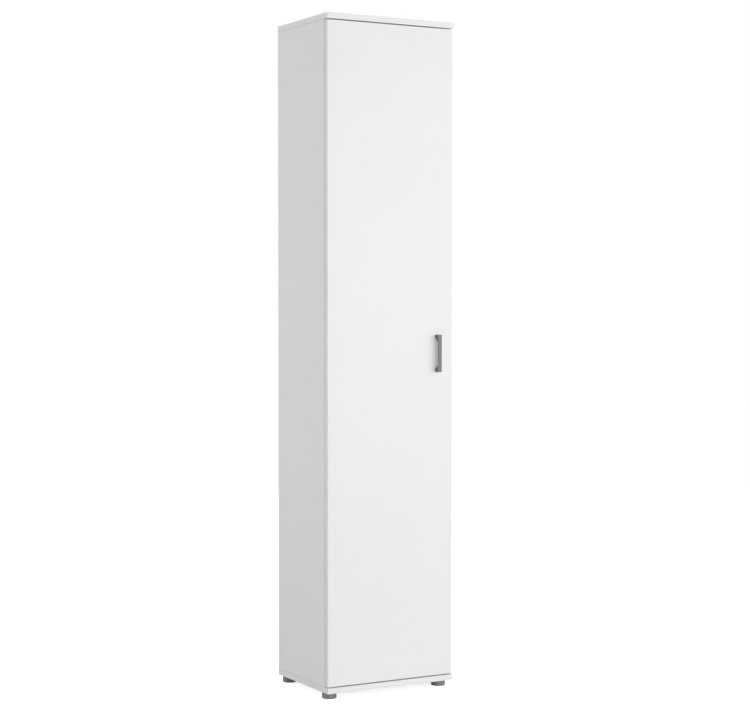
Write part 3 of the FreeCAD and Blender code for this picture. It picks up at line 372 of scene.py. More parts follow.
def makeEdgeDistance():
    # distance to the nearest edge of a board, from its lowest and highest corners
    tree, given, wanted = newGroup("edgeDistance", (
        ("Low", "Vector", (0, 0, 0)),
        ("High", "Vector", (1, 1, 1)),
    ), (("Distance", "Float"),))
    where = placeInObject(tree)
    spans = []
    for row, (first, second) in enumerate(((where, given["Low"]), (given["High"], where))):
        span = vectorMaths(tree, "SUBTRACT", (-4, -row), first, second)
        spans.append(vectorMaths(tree, "ABSOLUTE", (-3, -row), span))
    parts = addNode(tree, "ShaderNodeSeparateXYZ", (-1, 0))
    feed(tree, vectorMaths(tree, "MINIMUM", (-2, 0), *spans), parts.inputs[0])
    x, y, z = parts.outputs
    # on a face one of the three is zero, so the middle one leads to the nearest edge
    smaller = maths(tree, "MINIMUM", (1, 1), x, y)
    larger = maths(tree, "MAXIMUM", (1, 0), x, y)
    capped = maths(tree, "MINIMUM", (2, 0), larger, z)
    feed(tree, maths(tree, "MAXIMUM", (3, 0), smaller, capped), wanted["Distance"])
    return tree


grainDetail = {
    "grainRoughness": 0.65,
    "driftScale": 55.0,
    "driftShare": 0.6,  # of the mottle, the fine grain makes the rest
    "mottleSpan": (0.35, 0.65),
}


def makeFineGrain():
    # fine grain of moulded or coated pieces
    tree, given, wanted = newGroup("fineGrain", (
        ("Tone", "Color", (0.2, 0.2, 0.2, 1)),
        ("Mottle", "Float", 0.1),
        ("Grain Scale", "Float", 2600.0),
        ("Roughness", "Float", 0.5),
        ("Roughness Spread", "Float", 0.06),
    ), surfaceOutputs)
    where = placeInObject(tree)
    grain = noise(tree, (-4, 0), where, given["Grain Scale"], detail=3,
                  roughness=grainDetail["grainRoughness"])
    drift = noise(tree, (-4, 2), where, grainDetail["driftScale"], detail=3)
    driftPart = maths(tree, "MULTIPLY", (-3, 2), drift, grainDetail["driftShare"])
    grainPart = maths(tree, "MULTIPLY", (-3, 0), grain, 1 - grainDetail["driftShare"])
    mixed = maths(tree, "ADD", (-2, 1), driftPart, grainPart)
    lowTone = maths(tree, "SUBTRACT", (-2, 3), 1.0, given["Mottle"])
    tone = ranged(tree, (-1, 1), mixed, grainDetail["mottleSpan"], lowTone, 1.0)
    feed(tree, darkened(tree, (2, 1), given["Tone"], tone), wanted["Color"])
    unevenRoughness(tree, drift, given, wanted)
    feed(tree, grain, wanted["Height"])
    return tree


metalDetail = {"bloomScale": 120.0, "bloomTone": 0.88, "scratchRoughness": 0.7}


def makeMetalFinish():
    # plated or cast metal: tumbled scratches, slightly uneven shine
    tree, given, wanted = newGroup("metalFinish", (
        ("Tone", "Color", (0.6, 0.6, 0.6, 1)),
        ("Stretch", "Vector", (1, 1, 8)),
        ("Scratch Scale", "Float", 900.0),
        ("Roughness", "Float", 0.3),
        ("Roughness Spread", "Float", 0.1),
    ), surfaceOutputs)
    where = placeInObject(tree)
    stretched = vectorMaths(tree, "MULTIPLY", (-5, 0), where, given["Stretch"])
    scratch = noise(tree, (-4, 0), stretched, given["Scratch Scale"], detail=4,
                    roughness=metalDetail["scratchRoughness"])
    bloom = noise(tree, (-4, 2), where, metalDetail["bloomScale"], detail=3)
    tone = ranged(tree, (-2, 1), bloom, noiseSpan, metalDetail["bloomTone"], 1.0)
    feed(tree, darkened(tree, (1, 1), given["Tone"], tone), wanted["Color"])
    unevenRoughness(tree, scratch, given, wanted)
    feed(tree, scratch, wanted["Height"])
    return tree


filmSurface = makeFilmSurface()
edgeDistance = makeEdgeDistance()
fineGrain = makeFineGrain()
metalFinish = makeMetalFinish()
print("shared effects ready")


# finishes, each made from the look of its piece

def grainMaterial(name, look):
    material, tree, shader = newMaterial(name, {})
    grain = useGroup(tree, fineGrain, (-1, 0), {
        "Tone": look["tone"],
        "Mottle": look["mottle"],
        "Grain Scale": look["grainScale"],
        "Roughness": look["roughness"],
        "Roughness Spread": look["roughnessSpread"],
    })
    finishShader(tree, shader, grain["Color"], grain["Roughness"], grain["Height"], look)
    return material


def metalMaterial(name, look):
    material, tree, shader = newMaterial(name, {"Metallic": 1.0})
    finish = useGroup(tree, metalFinish, (-1, 0), {
        "Tone": look["tone"],
        "Stretch": look["stretch"],
        "Scratch Scale": look["scratchScale"],
        "Roughness": look["roughness"],
        "Roughness Spread": look["roughnessSpread"],
    })
    finishShader(tree, shader, finish["Color"], finish["Roughness"], finish["Height"], look)
    return material


nickelLook = {  # hinges, shelf pins and the wall bracket
    "tone": (0.66, 0.655, 0.64),
    "stretch": (1, 1, 6),
    "scratchScale": 700.0,
    "roughness": 0.28,
    "roughnessSpread": 0.08,
    "bumpStrength": 0.06,
    "bumpDistance": 0.00005,
}
screwSteelLook = {  # screws, hinge pins and cam bolts
    "tone": (0.7, 0.69, 0.66),
    "stretch": (1, 1, 1),
    "scratchScale": 1200.0,
    "roughness": 0.26,
    "roughnessSpread": 0.08,
    "bumpStrength": 0.06,
    "bumpDistance": 0.00004,
}
nickelSteel = metalMaterial("nickelSteel", nickelLook)
screwSteel = metalMaterial("screwSteel", screwSteelLook)
print("shared finishes ready")

# carcass boards and door

boardSettings = {
    "edgeRadius": 0.0005,
    "doorEdgeRadius": 0.0008,
    "edgeSteps": 3,
    "pinPitch": 0.032,
    "spareRows": 2,  # rows of shelf pin holes above and below the pins
    "pinHoleRadius": 0.00262,
    "pinHoleDepth": 0.0081,
    "discHoleRadius": 0.00752,
    "discHoleDepth": 0.0122,
    "cupHoleRadius": 0.01762,
    "cupHoleDepth": 0.0119,
    "cupHoleFromEnd": 0.0192,  # its middle, from the cup's end furthest from the door's edge
    "tone": (0.875, 0.875, 0.872),
    "cloud": 0.012,
    "cloudScale": 3.0,
    "pearlScale": 1100.0,
    "roughness": 0.42,
    "roughnessSpread": 0.03,
    "specular": 0.4,
    "bumpStrength": 0.12,
    "bumpDistance": 0.0002,
    "seamPlace": 0.0008,  # glue line of the edging, from the board's edge
    "seamWidth": 0.00022,
    "seamTone": 0.9,
    "edgeFade": 0.006,
    "edgeTone": 0.985,
    "jointShadeFade": 0.0024,
    "jointShadeTone": 0.84,  # painted shade at the ends of the sides, where they meet the top and bottom boards
}


def boardMaterial(name, low, high, hasJoints):
    look = boardSettings
    material, tree, shader = newMaterial(name, {"Specular IOR Level": look["specular"]})
    film = useGroup(tree, filmSurface, (-3, 1), {
        "Tone": look["tone"],
        "Cloud": look["cloud"],
        "Cloud Scale": look["cloudScale"],
        "Pearl Scale": look["pearlScale"],
        "Roughness": look["roughness"],
        "Roughness Spread": look["roughnessSpread"],
    })
    edge = useGroup(tree, edgeDistance, (-3, -1), {"Low": low, "High": high})["Distance"]
    offLine = maths(tree, "SUBTRACT", (-2, -2), edge, look["seamPlace"])
    offLine = maths(tree, "ABSOLUTE", (-1, -2), offLine)
    seam = ranged(tree, (0, -2), offLine, (0.0, look["seamWidth"]), look["seamTone"], 1.0, smooth=True)
    fade = ranged(tree, (0, -1), edge, (0.0, look["edgeFade"]), look["edgeTone"], 1.0, smooth=True)
    shade = maths(tree, "MULTIPLY", (1, -1), seam, fade)
    # painted shade: the side boards darken towards their ends, where they meet the top and bottom boards
    if hasJoints:
        parts = addNode(tree, "ShaderNodeSeparateXYZ", (-5, -4))
        feed(tree, placeInObject(tree), parts.inputs[0])
        fromMiddle = maths(tree, "SUBTRACT", (-4, -4), parts.outputs[2], (low.z + high.z) / 2)
        fromMiddle = maths(tree, "ABSOLUTE", (-3, -4), fromMiddle)
        half = (high.z - low.z) / 2
        jointShade = ranged(tree, (-1, -4), fromMiddle, (half - look["jointShadeFade"], half), 1.0, look["jointShadeTone"])
        shade = maths(tree, "MULTIPLY", (1, -3), shade, jointShade)
    color = darkened(tree, (3, 1), film["Color"], shade)
    finishShader(tree, shader, color, film["Roughness"], film["Height"], look)
    return material


discPlaces = []  # middle of each cam disc's visible face, and the way it looks
for low, high in solidsOf("cam_discs"):
    middle = (low + high) / 2
    size = high - low
    thin = min(range(3), key=lambda i: size[i])
    facing = -axisZ if thin == 2 else axisX * (-1 if middle.x > 0 else 1)
    discPlaces.append((middle + facing * (size[thin] / 2), facing))

pinBoxes = solidsOf("shelf_pins")
sideHoles = {-1: [], 1: []}
for low, high in pinBoxes:
    middle = (low + high) / 2
    side = 1 if middle.x > 0 else -1
    boardLow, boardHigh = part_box("right_side_panel" if side > 0 else "left_side_panel")
    innerX = boardLow.x if side > 0 else boardHigh.x
    for row in range(-boardSettings["spareRows"], boardSettings["spareRows"] + 1):
        mouth = Vector((innerX, middle.y, middle.z + row * boardSettings["pinPitch"]))
        sideHoles[side].append(
            (mouth, axisX * side, boardSettings["pinHoleRadius"], boardSettings["pinHoleDepth"]))
shelfHoles = []
for place, facing in discPlaces:
    hole = (place, -facing, boardSettings["discHoleRadius"], boardSettings["discHoleDepth"])
    if facing.z < 0:
        shelfHoles.append(hole)
    else:
        sideHoles[1 if place.x > 0 else -1].append(hole)

hingeNumbers = (1, 2, 3, 4)
doorHoles = []
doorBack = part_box("door_panel")[1].y
for number in hingeNumbers:
    low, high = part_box(f"hinge_{number}_cup")
    mouth = Vector((high.x - boardSettings["cupHoleFromEnd"], doorBack, (low.z + high.z) / 2))
    doorHoles.append((mouth, -axisY, boardSettings["cupHoleRadius"], boardSettings["cupHoleDepth"]))

boards = (
    ("bottomBoard", "bottom_panel", "carcass", []),
    ("topBoard", "top_panel", "carcass", []),
    ("leftSideBoard", "left_side_panel", "carcass", sideHoles[-1]),
    ("rightSideBoard", "right_side_panel", "carcass", sideHoles[1]),
    ("fixedShelfBoard", "fixed_shelf", "carcass", shelfHoles),
    ("looseShelfBoard", "adjustable_shelf", "carcass", []),
    ("doorBoard", "door_panel", "door", doorHoles),
)
for name, node, body, holes in boards:
    low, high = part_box(node)
    radius = boardSettings["doorEdgeRadius"] if body == "door" else boardSettings["edgeRadius"]
    mesh = meshOf(softBox(low, high, radius, boardSettings["edgeSteps"]), name)
    film = boardMaterial(name + "Film", low, high, "side_panel" in node)
    board = addPiece(name, mesh, (film,), body, (node,))
    if holes:
        cutAway(board, roundHoles(holes))
print("boards ready")

# back sheets: hardboard, raw on the back, lacquered white on the inside

backSettings = {
    "edgeRadius": 0.0003,
    "edgeSteps": 1,
    "wallHoleRadius": 0.003,
    "wallHoleBelowBracket": 0.024,  # from the wall bracket's upper end
    "wallHolePast": 0.001,  # the cutter goes this far through the sheet
    "wallHoleSteps": 32,
    "raw": {
        "dark": (0.17, 0.09, 0.045),
        "light": (0.34, 0.2, 0.11),
        "fibreScale": 420.0,
        "fibreStretch": (1.0, 1.0, 0.35),  # less than 1 draws the fibres out
        "fibreRoughness": 0.7,
        "fleck": (0.45, 0.3, 0.18),
        "fleckScale": 900.0,
        "fleckSpan": (0.62, 0.72),  # only the peaks of the noise are flecks
        "fleckShare": 0.55,
        "patchScale": 14.0,
        "patchTone": 0.82,
        "roughness": (0.62, 0.8),
        "specular": 0.3,
        "bumpStrength": 0.35,
        "bumpDistance": 0.0002,
    },
    "white": {
        "tone": (0.84, 0.84, 0.835),
        "mottle": 0.03,
        "grainScale": 1300.0,
        "roughness": 0.45,
        "roughnessSpread": 0.06,
        "bumpStrength": 0.2,
        "bumpDistance": 0.0001,
    },
}


def fibreMaterial(name, look):
    material, tree, shader = newMaterial(name, {"Specular IOR Level": look["specular"]})
    where = placeInObject(tree)
    drawnOut = vectorMaths(tree, "MULTIPLY", (-5, 0), where, look["fibreStretch"])
    felt = noise(tree, (-4, 1), drawnOut, look["fibreScale"], detail=5, roughness=look["fibreRoughness"])
    patch = noise(tree, (-4, 0), where, look["patchScale"], detail=3)
    fleck = noise(tree, (-4, -1), drawnOut, look["fleckScale"], detail=2)
    feltMask = ranged(tree, (-2, 1), felt, noiseSpan, 0.0, 1.0)
    fleckMask = ranged(tree, (-2, -1), fleck, look["fleckSpan"], 0.0, look["fleckShare"])
    color = tinted(tree, (-1, 1), "MIX", feltMask, look["dark"], look["light"])
    color = tinted(tree, (0, 1), "MIX", fleckMask, color, look["fleck"])
    color = darkened(tree, (2, 1), color, ranged(tree, (-1, 0), patch, noiseSpan, look["patchTone"], 1.0))
    roughness = ranged(tree, (2, -1), felt, noiseSpan, *look["roughness"])
    finishShader(tree, shader, color, roughness, felt, look)
    return material


rawHardboard = fibreMaterial("rawHardboard", backSettings["raw"])
whiteHardboard = grainMaterial("whiteHardboard", backSettings["white"])
for name, node in (("upperBackSheet", "back_panel_upper"), ("lowerBackSheet", "back_panel_lower")):
    low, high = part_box(node)
    mesh = meshOf(softBox(low, high, backSettings["edgeRadius"], backSettings["edgeSteps"]), name)
    sheet = addPiece(name, mesh, (rawHardboard, whiteHardboard), "carcass", (node,))
    for face in sheet.data.polygons:
        face.material_index = 1 if face.normal.y < -0.9 else 0  # the face that looks into the cupboard
    if node == "back_panel_upper":
        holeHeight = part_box("wall_bracket")[1].z - backSettings["wallHoleBelowBracket"]
        depth = high.y - low.y + backSettings["wallHolePast"]
        hole = (Vector((0, high.y, holeHeight)), -axisY, backSettings["wallHoleRadius"], depth)
        cutAway(sheet, roundHoles([hole], backSettings["wallHoleSteps"]))
print("back ready")

# feet

footSettings = {
    "topRounding": 0.0006,
    "rim": 0.0026,
    "draft": 0.00015,  # the foot is this much slimmer at its top
    "recessRadius": 0.0055,
    "recessDepth": 0.013,
    "recessFlare": 0.0003,  # the recess is this much wider at the floor
    "recessTopRounding": 0.0003,
    "recessRimRounding": 0.0004,
    "curveSteps": 8,
    "turnSteps": 96,
    "tone": (0.24, 0.24, 0.24),
    "mottle": 0.12,
    "grainScale": 3200.0,
    "roughness": 0.46,
    "roughnessSpread": 0.05,
    "bumpStrength": 0.25,
    "bumpDistance": 0.0001,
}
footPlastic = grainMaterial("footPlastic", footSettings)
feet = (("frontLeftFoot", "front_left_foot"), ("frontRightFoot", "front_right_foot"),
        ("backLeftFoot", "back_left_foot"), ("backRightFoot", "back_right_foot"))
shape = footSettings
for name, node in feet:
    low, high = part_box(node)
    radius = (high.x - low.x) / 2
    height = high.z - low.z
    bm = turned(roundedProfile([
        (0, shape["recessDepth"], 0),
        (shape["recessRadius"], shape["recessDepth"], shape["recessTopRounding"]),
        (shape["recessRadius"] + shape["recessFlare"], 0, shape["recessRimRounding"]),
        (radius, 0, shape["rim"]),
        (radius - shape["draft"], height, shape["topRounding"]),
        (0, height, 0),
    ], shape["curveSteps"]), shape["turnSteps"])
    bmesh.ops.translate(bm, verts=bm.verts[:], vec=endMiddle(low, high, 2, False))
    shadeByAngle(addPiece(name, meshOf(bm, name), (footPlastic,), "carcass", (node,)))
print("feet ready")

# handle: a flat bow, its outline from the side drawn out to its width

handleSettings = {
    "bar": 0.003,  # thickness in front
    "legAtDoor": 0.008,  # height of a leg, its inner face slants from here
    "legAtBar": 0.0168,  # to here
    "curve": 0.01,
    "curveSteps": 14,
    "corner": 0.0012,  # rounding of the two outer corners
    "edge": 0.0007,
    "edgeSteps": 4,
    "edgeFrom": 60,  # degrees between two faces, their edge is broken above this
    "doorMargin": 0.0002,  # edges nearer than this to the door stay sharp
    "shadeAngle": 30,
    "tone": (0.156, 0.156, 0.158),
    "mottle": 0.06,
    "grainScale": 2400.0,
    "roughness": 0.36,
    "roughnessSpread": 0.04,
    "bumpStrength": 0.12,
    "bumpDistance": 0.00008,
}


def isRim(edge, doorFace):
    # a sharp edge along the outline that doesn't lie on the door
    start, end = [vert.co for vert in edge.verts]
    sharp = edge.calc_face_angle(0) > math.radians(handleSettings["edgeFrom"])
    inFront = min(start.y, end.y) < doorFace - handleSettings["doorMargin"]
    return sharp and inFront and abs(start.x - end.x) < samePoint


shape = handleSettings
low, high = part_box("door_handle")
barBack = low.y + shape["bar"]
outline = roundedProfile([
    (high.y, low.z, 0),
    (low.y, low.z, shape["corner"]),
    (low.y, high.z, shape["corner"]),
    (high.y, high.z, 0),
    (high.y, high.z - shape["legAtDoor"], 0),
    (barBack, high.z - shape["legAtBar"], shape["curve"]),
    (barBack, low.z + shape["legAtBar"], shape["curve"]),
    (high.y, low.z + shape["legAtDoor"], 0),
], shape["curveSteps"])
bm = bmesh.new()
flank = bm.faces.new([bm.verts.new((low.x, y, z)) for y, z in outline])
grown = bmesh.ops.extrude_face_region(bm, geom=[flank])["geom"]
farVerts = [item for item in grown if isinstance(item, bmesh.types.BMVert)]
bmesh.ops.translate(bm, verts=farVerts, vec=(high.x - low.x, 0, 0))
bmesh.ops.recalc_face_normals(bm, faces=bm.faces[:])
rims = [edge for edge in bm.edges if isRim(edge, high.y)]
bmesh.ops.bevel(bm, geom=rims, offset=shape["edge"], segments=shape["edgeSteps"], profile=0.5, affect="EDGES")
handleLacquer = grainMaterial("handleLacquer", handleSettings)
handle = addPiece("bowHandle", meshOf(bm, "bowHandle"), (handleLacquer,), "door",
                  ("door_handle",))
shadeByAngle(handle, shape["shadeAngle"])
print("handle ready")


# fasteners

def crossCutter(reach, width, depth):
    # a tapered cross recess, from just above zero down to its depth
    above = 0.0003
    taper = 0.6  # the arms' reach at the bottom, of that at the top
    half = width / 2
    bm = bmesh.new()
    rings = []
    for arm, height in ((reach, above), (reach * taper, -depth)):
        ring = []
        for c, s in ((1, 0), (0, 1), (-1, 0), (0, -1)):
            for x, y in ((arm, -half), (arm, half), (half, half)):
                ring.append(bm.verts.new((x * c - y * s, x * s + y * c, height)))
        rings.append(ring)
    top, bottom = rings
    for i in range(len(top)):
        j = (i + 1) % len(top)
        bm.faces.new((top[i], top[j], bottom[j], bottom[i]))
    bm.faces.new(top)
    bm.faces.new(bottom)
    bmesh.ops.recalc_face_normals(bm, faces=bm.faces[:])
    return meshOf(bm, "cross")


def crossHead(name, profile, steps, reach, width, depth):
    # a turned head with its top at zero, looking along Z, and a cross recess in it
    head = bpy.data.objects.new(name, meshOf(turned(profile, steps), name))
    bpy.context.scene.collection.objects.link(head)
    cutAway(head, crossCutter(reach, width, depth))
    mesh = head.data
    bpy.data.objects.remove(head)
    return mesh


def scattered(name, mesh, places, material, body, node):
    # one piece with a copy of the mesh at each place
    piece = addPiece(name, meshOf(placed(mesh, places), name), (material,), body, (node,))
    return shadeByAngle(piece)


discSettings = {
    "backRounding": 0.0004,
    "rimRounding": 0.0005,
    "rimWidth": 0.0012,
    "faceDepth": 0.0005,  # the face between rim and hub lies this deep
    "slope": 0.0003,
    "hubRadius": 0.0049,
    "hubRounding": 0.0001,
    "crossLength": 0.0042,
    "crossWidth": 0.0013,
    "crossDepth": 0.0026,
    "turnSteps": 40,
    "tone": (0.6, 0.605, 0.615),
    "stretch": (1, 1, 1),
    "scratchScale": 1500.0,
    "roughness": 0.4,
    "roughnessSpread": 0.08,
    "bumpStrength": 0.25,
    "bumpDistance": 0.00008,
}
shape = discSettings
low, high = solidsOf("cam_discs")[0]
discRadius = max(high - low) / 2
discDepth = min(high - low)
rimInside = discRadius - shape["rimWidth"]
discProfile = roundedProfile([
    (0, -discDepth, 0),
    (discRadius, -discDepth, shape["backRounding"]),
    (discRadius, 0, shape["rimRounding"]),
    (rimInside, 0, 0),
    (rimInside - shape["slope"], -shape["faceDepth"], 0),
    (shape["hubRadius"] + shape["slope"], -shape["faceDepth"], 0),
    (shape["hubRadius"], 0, shape["hubRounding"]),
    (0, 0, 0),
])
disc = crossHead("disc", discProfile, shape["turnSteps"],
                 shape["crossLength"], shape["crossWidth"], shape["crossDepth"])
castZinc = metalMaterial("castZinc", discSettings)
scattered("camDiscs", disc, discPlaces, castZinc, "carcass", "cam_discs")

screwSettings = {
    "headHeight": 0.0024,
    "domeFrom": 0.55,  # of the head's height, from its top
    "domeTop": 0.6,  # of the head's radius
    "shank": 0.5,  # of the head's radius
    "underRounding": 0.0001,
    "shoulderRounding": 0.0005,
    "topRounding": 0.0006,
    "crossLength": 0.0024,
    "crossLimit": 0.62,  # of the head's radius, for small heads
    "crossWidth": 0.0009,
    "crossDepth": 0.0014,
    "turnSteps": 40,
}


def screwHeads(name, node, outward, body):
    # each screw fills its solid, its head at the outer end
    shape = screwSettings
    boxes = solidsOf(node)
    along = max(range(3), key=lambda i: abs(outward[i]))
    across = 0 if along else 1
    places = [(endMiddle(low, high, along, outward[along] > 0), outward) for low, high in boxes]
    low, high = boxes[0]
    length = (high - low)[along]
    radius = (high[across] - low[across]) / 2
    shank = radius * shape["shank"]
    thick = shape["headHeight"]
    profile = roundedProfile([
        (0, -length, 0),
        (shank, -length + shank, 0),
        (shank, -thick, 0),
        (radius, -thick, shape["underRounding"]),
        (radius, -thick * shape["domeFrom"], shape["shoulderRounding"]),
        (radius * shape["domeTop"], 0, shape["topRounding"]),
        (0, 0, 0),
    ])
    reach = min(shape["crossLength"], radius * shape["crossLimit"])
    head = crossHead(name + "Head", profile, shape["turnSteps"],
                     reach, shape["crossWidth"], shape["crossDepth"])
    scattered(name, head, places, screwSteel, body, node)


screwHeads("hingePlateScrews", "hinge_plate_screws", axisX, "carcass")
screwHeads("hingeArmScrews", "hinge_arm_screws", axisX, "carcass")
screwHeads("hingeCupScrews", "hinge_cup_screws", axisY, "door")
screwHeads("handleScrews", "handle_screws", axisY, "door")
screwHeads("footScrews", "foot_screws", -axisZ, "carcass")
screwHeads("wallBracketScrews", "wall_bracket_screws", -axisZ, "carcass")

nailSettings = {
    "shankRadius": 0.0008,
    "point": 0.002,
    "neck": 0.0005,  # the shank ends here, from the head's top
    "headHeight": 0.0004,
    "headRadius": 0.0017,
    "headTop": 0.75,  # of the head's radius
    "underRounding": 0.0001,
    "topRounding": 0.0003,
    "turnSteps": 24,
    "tone": (0.5, 0.5, 0.5),
    "stretch": (1, 1, 1),
    "scratchScale": 1500.0,
    "roughness": 0.38,
    "roughnessSpread": 0.1,
    "bumpStrength": 0.1,
    "bumpDistance": 0.00005,
}
shape = nailSettings
nailBoxes = solidsOf("back_nails")
nailLength = nailBoxes[0][1].y - nailBoxes[0][0].y
nailMesh = meshOf(turned(roundedProfile([
    (0, -nailLength, 0),
    (shape["shankRadius"], -nailLength + shape["point"], 0),
    (shape["shankRadius"], -shape["neck"], 0),
    (shape["headRadius"], -shape["headHeight"], shape["underRounding"]),
    (shape["headRadius"] * shape["headTop"], 0, shape["topRounding"]),
    (0, 0, 0),
]), shape["turnSteps"]), "nail")
nailSteel = metalMaterial("nailSteel", nailSettings)
nailPlaces = [(endMiddle(low, high, 1, True), axisY) for low, high in nailBoxes]
scattered("backNails", nailMesh, nailPlaces, nailSteel, "carcass", "back_nails")

shelfPinSettings = {
    "pegRadius": 0.0025,
    "tipRounding": 0.0005,
    "endRounding": 0.0008,  # the end under the shelf
    "collarRadius": 0.0037,
    "collarFrom": 0.007,  # from the end under the shelf
    "collarTo": 0.0081,
    "collarSlope": 0.0001,
    "collarShelfRounding": 0.0003,
    "collarBoardRounding": 0.0002,
    "turnSteps": 32,
}
shape = shelfPinSettings
pinLength = pinBoxes[0][1].x - pinBoxes[0][0].x
pinMesh = meshOf(turned(roundedProfile([
    (0, -pinLength, 0),
    (shape["pegRadius"], -pinLength, shape["tipRounding"]),
    (shape["pegRadius"], -shape["collarTo"], 0),
    (shape["collarRadius"], -shape["collarTo"] + shape["collarSlope"], shape["collarBoardRounding"]),
    (shape["collarRadius"], -shape["collarFrom"] - shape["collarSlope"], shape["collarShelfRounding"]),
    (shape["pegRadius"], -shape["collarFrom"], 0),
    (shape["pegRadius"], 0, shape["endRounding"]),
    (0, 0, 0),
]), shape["turnSteps"]), "pin")
pinPlaces = []
for low, high in pinBoxes:
    # the collar makes the box lopsided, so the peg's middle is the box's top less the radius
    point = endMiddle(low, high, 0, low.x < 0)
    point.z = high.z - shape["pegRadius"]
    pinPlaces.append((point, axisX if low.x < 0 else -axisX))
pins = scattered("shelfPins", pinMesh, pinPlaces, nickelSteel, "carcass", "shelf_pins")
for vert in pins.data.vertices:
    vert.co.z = min(vert.co.z, pinBoxes[0][1].z)  # the collars are flat under the shelf

hingePinSettings = {"endRounding": 0.0003, "curveSteps": 3, "turnSteps": 32}
shape = hingePinSettings
for name, node, body in (("hingeArmPins", "hinge_arm_pins", "carcass"),
                         ("hingeCupPins", "hinge_cup_pins", "door")):
    bm = bmesh.new()
    for low, high in solidsOf(node):
        radius = (high.x - low.x) / 2
        pin = meshOf(turned(roundedProfile([
            (0, low.z, 0),
            (radius, low.z, shape["endRounding"]),
            (radius, high.z, shape["endRounding"]),
            (0, high.z, 0),
        ], shape["curveSteps"]), shape["turnSteps"]), "pin")
        pin.transform(Matrix.Translation(((low.x + high.x) / 2, (low.y + high.y) / 2, 0)))
        bm.from_mesh(pin)
    shadeByAngle(addPiece(name, meshOf(bm, name), (screwSteel,), body, (node,)))

dotSettings = {
    "domeSteps": 10,
    "turnSteps": 40,
    "tone": (0.72, 0.73, 0.72),
    "mottle": 0.05,
    "grainScale": 1500.0,
    "roughness": 0.25,
    "roughnessSpread": 0.05,
    "bumpStrength": 0.05,
    "bumpDistance": 0.0001,
}
dotBoxes = solidsOf("door_bumpers")
dotRadius = (dotBoxes[0][1].x - dotBoxes[0][0].x) / 2
dotHeight = dotBoxes[0][1].y - dotBoxes[0][0].y
dome = [math.pi / 2 * k / dotSettings["domeSteps"] for k in range(dotSettings["domeSteps"])]
dotProfile = [(0, 0)] + [(dotRadius * math.cos(a), dotHeight * math.sin(a)) for a in dome] + [(0, dotHeight)]
dotMesh = meshOf(turned(dotProfile, dotSettings["turnSteps"]), "dot")
dotPlaces = [(endMiddle(low, high, 1, False), axisY) for low, high in dotBoxes]
softDot = grainMaterial("softDot", dotSettings)
scattered("doorDots", dotMesh, dotPlaces, softDot, "door", "door_bumpers")
print("fasteners ready")


# hinges, bracket and strip: the frame's own shapes with their edges broken

def softened(name, node, width, steps, material, body):
    flatAngle = 1.0  # degrees, facets that meet flatter than this become one face
    edgeAngle = 40.0
    bm = bmesh.new()
    bm.from_mesh(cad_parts[node].data)
    bmesh.ops.remove_doubles(bm, verts=bm.verts[:], dist=samePoint)
    bmesh.ops.dissolve_limit(bm, angle_limit=math.radians(flatAngle), verts=bm.verts[:], edges=bm.edges[:])
    piece = addPiece(name, meshOf(bm, name), (material,), body, (node,))
    rounding = piece.modifiers.new("rounding", "BEVEL")
    rounding.width = width
    rounding.segments = steps
    rounding.limit_method = "ANGLE"
    rounding.angle_limit = math.radians(edgeAngle)
    rounding.use_clamp_overlap = True
    evaluated(piece)
    shadeByAngle(piece)


hingeSettings = {
    "edgeSteps": 2,
    "cupEdge": 0.00018,
    "armEdge": 0.0002,
    "plateEdge": 0.00025,
    "outerLinkEdge": 0.00015,
    "innerLinkEdge": 0.00012,
}
hingeParts = (
    ("Cup", "cup", "cupEdge", "door"),
    ("Arm", "arm", "armEdge", "carcass"),
    ("Plate", "mounting_plate", "plateEdge", "carcass"),
    ("OuterLink", "outer_link", "outerLinkEdge", "outer_links"),
    ("InnerLink", "inner_link", "innerLinkEdge", "inner_links"),
)
for number in hingeNumbers:
    for part, node, edge, body in hingeParts:
        softened(f"hinge{number}{part}", f"hinge_{number}_{node}", hingeSettings[edge],
                 hingeSettings["edgeSteps"], nickelSteel, body)

bracketSettings = {"edge": 0.0003, "edgeSteps": 2}
softened("wallBracket", "wall_bracket", bracketSettings["edge"], bracketSettings["edgeSteps"],
         nickelSteel, "carcass")

stripSettings = {
    "edge": 0.0001,
    "edgeSteps": 1,
    "tone": (0.8, 0.8, 0.79),
    "mottle": 0.04,
    "grainScale": 2000.0,
    "roughness": 0.4,
    "roughnessSpread": 0.05,
    "bumpStrength": 0.1,
    "bumpDistance": 0.0001,
}
stripPlastic = grainMaterial("stripPlastic", stripSettings)
softened("backStrip", "back_joining_strip", stripSettings["edge"], stripSettings["edgeSteps"],
         stripPlastic, "carcass")
print("hinges ready")

# dowels and cam bolts lie inside the boards, the frame's own solids get a finish

dowelSettings = {
    "dark": (0.56, 0.36, 0.2),
    "light": (0.74, 0.55, 0.36),
    "grainScale": 600.0,
    "grainStretch": (1.0, 1.0, 0.12),
    "grainRoughness": 0.6,
    "roughness": (0.5, 0.7),
    "specular": 0.3,
    "bumpStrength": 0.2,
    "bumpDistance": 0.0001,
}


def beechMaterial(name, look):
    material, tree, shader = newMaterial(name, {"Specular IOR Level": look["specular"]})
    drawnOut = vectorMaths(tree, "MULTIPLY", (-5, 0), placeInObject(tree), look["grainStretch"])
    rings = noise(tree, (-4, 0), drawnOut, look["grainScale"], detail=4, roughness=look["grainRoughness"])
    ringMask = ranged(tree, (-2, 0), rings, noiseSpan, 0.0, 1.0)
    color = tinted(tree, (0, 0), "MIX", ringMask, look["dark"], look["light"])
    roughness = ranged(tree, (1, -1), rings, noiseSpan, *look["roughness"])
    finishShader(tree, shader, color, roughness, rings, look)
    return material


for node, material in (("wooden_dowels", beechMaterial("beech", dowelSettings)), ("cam_bolts", screwSteel)):
    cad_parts[node].data.materials.clear()
    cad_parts[node].data.materials.append(material)
print("dowels and bolts ready")

# floor, light and camera

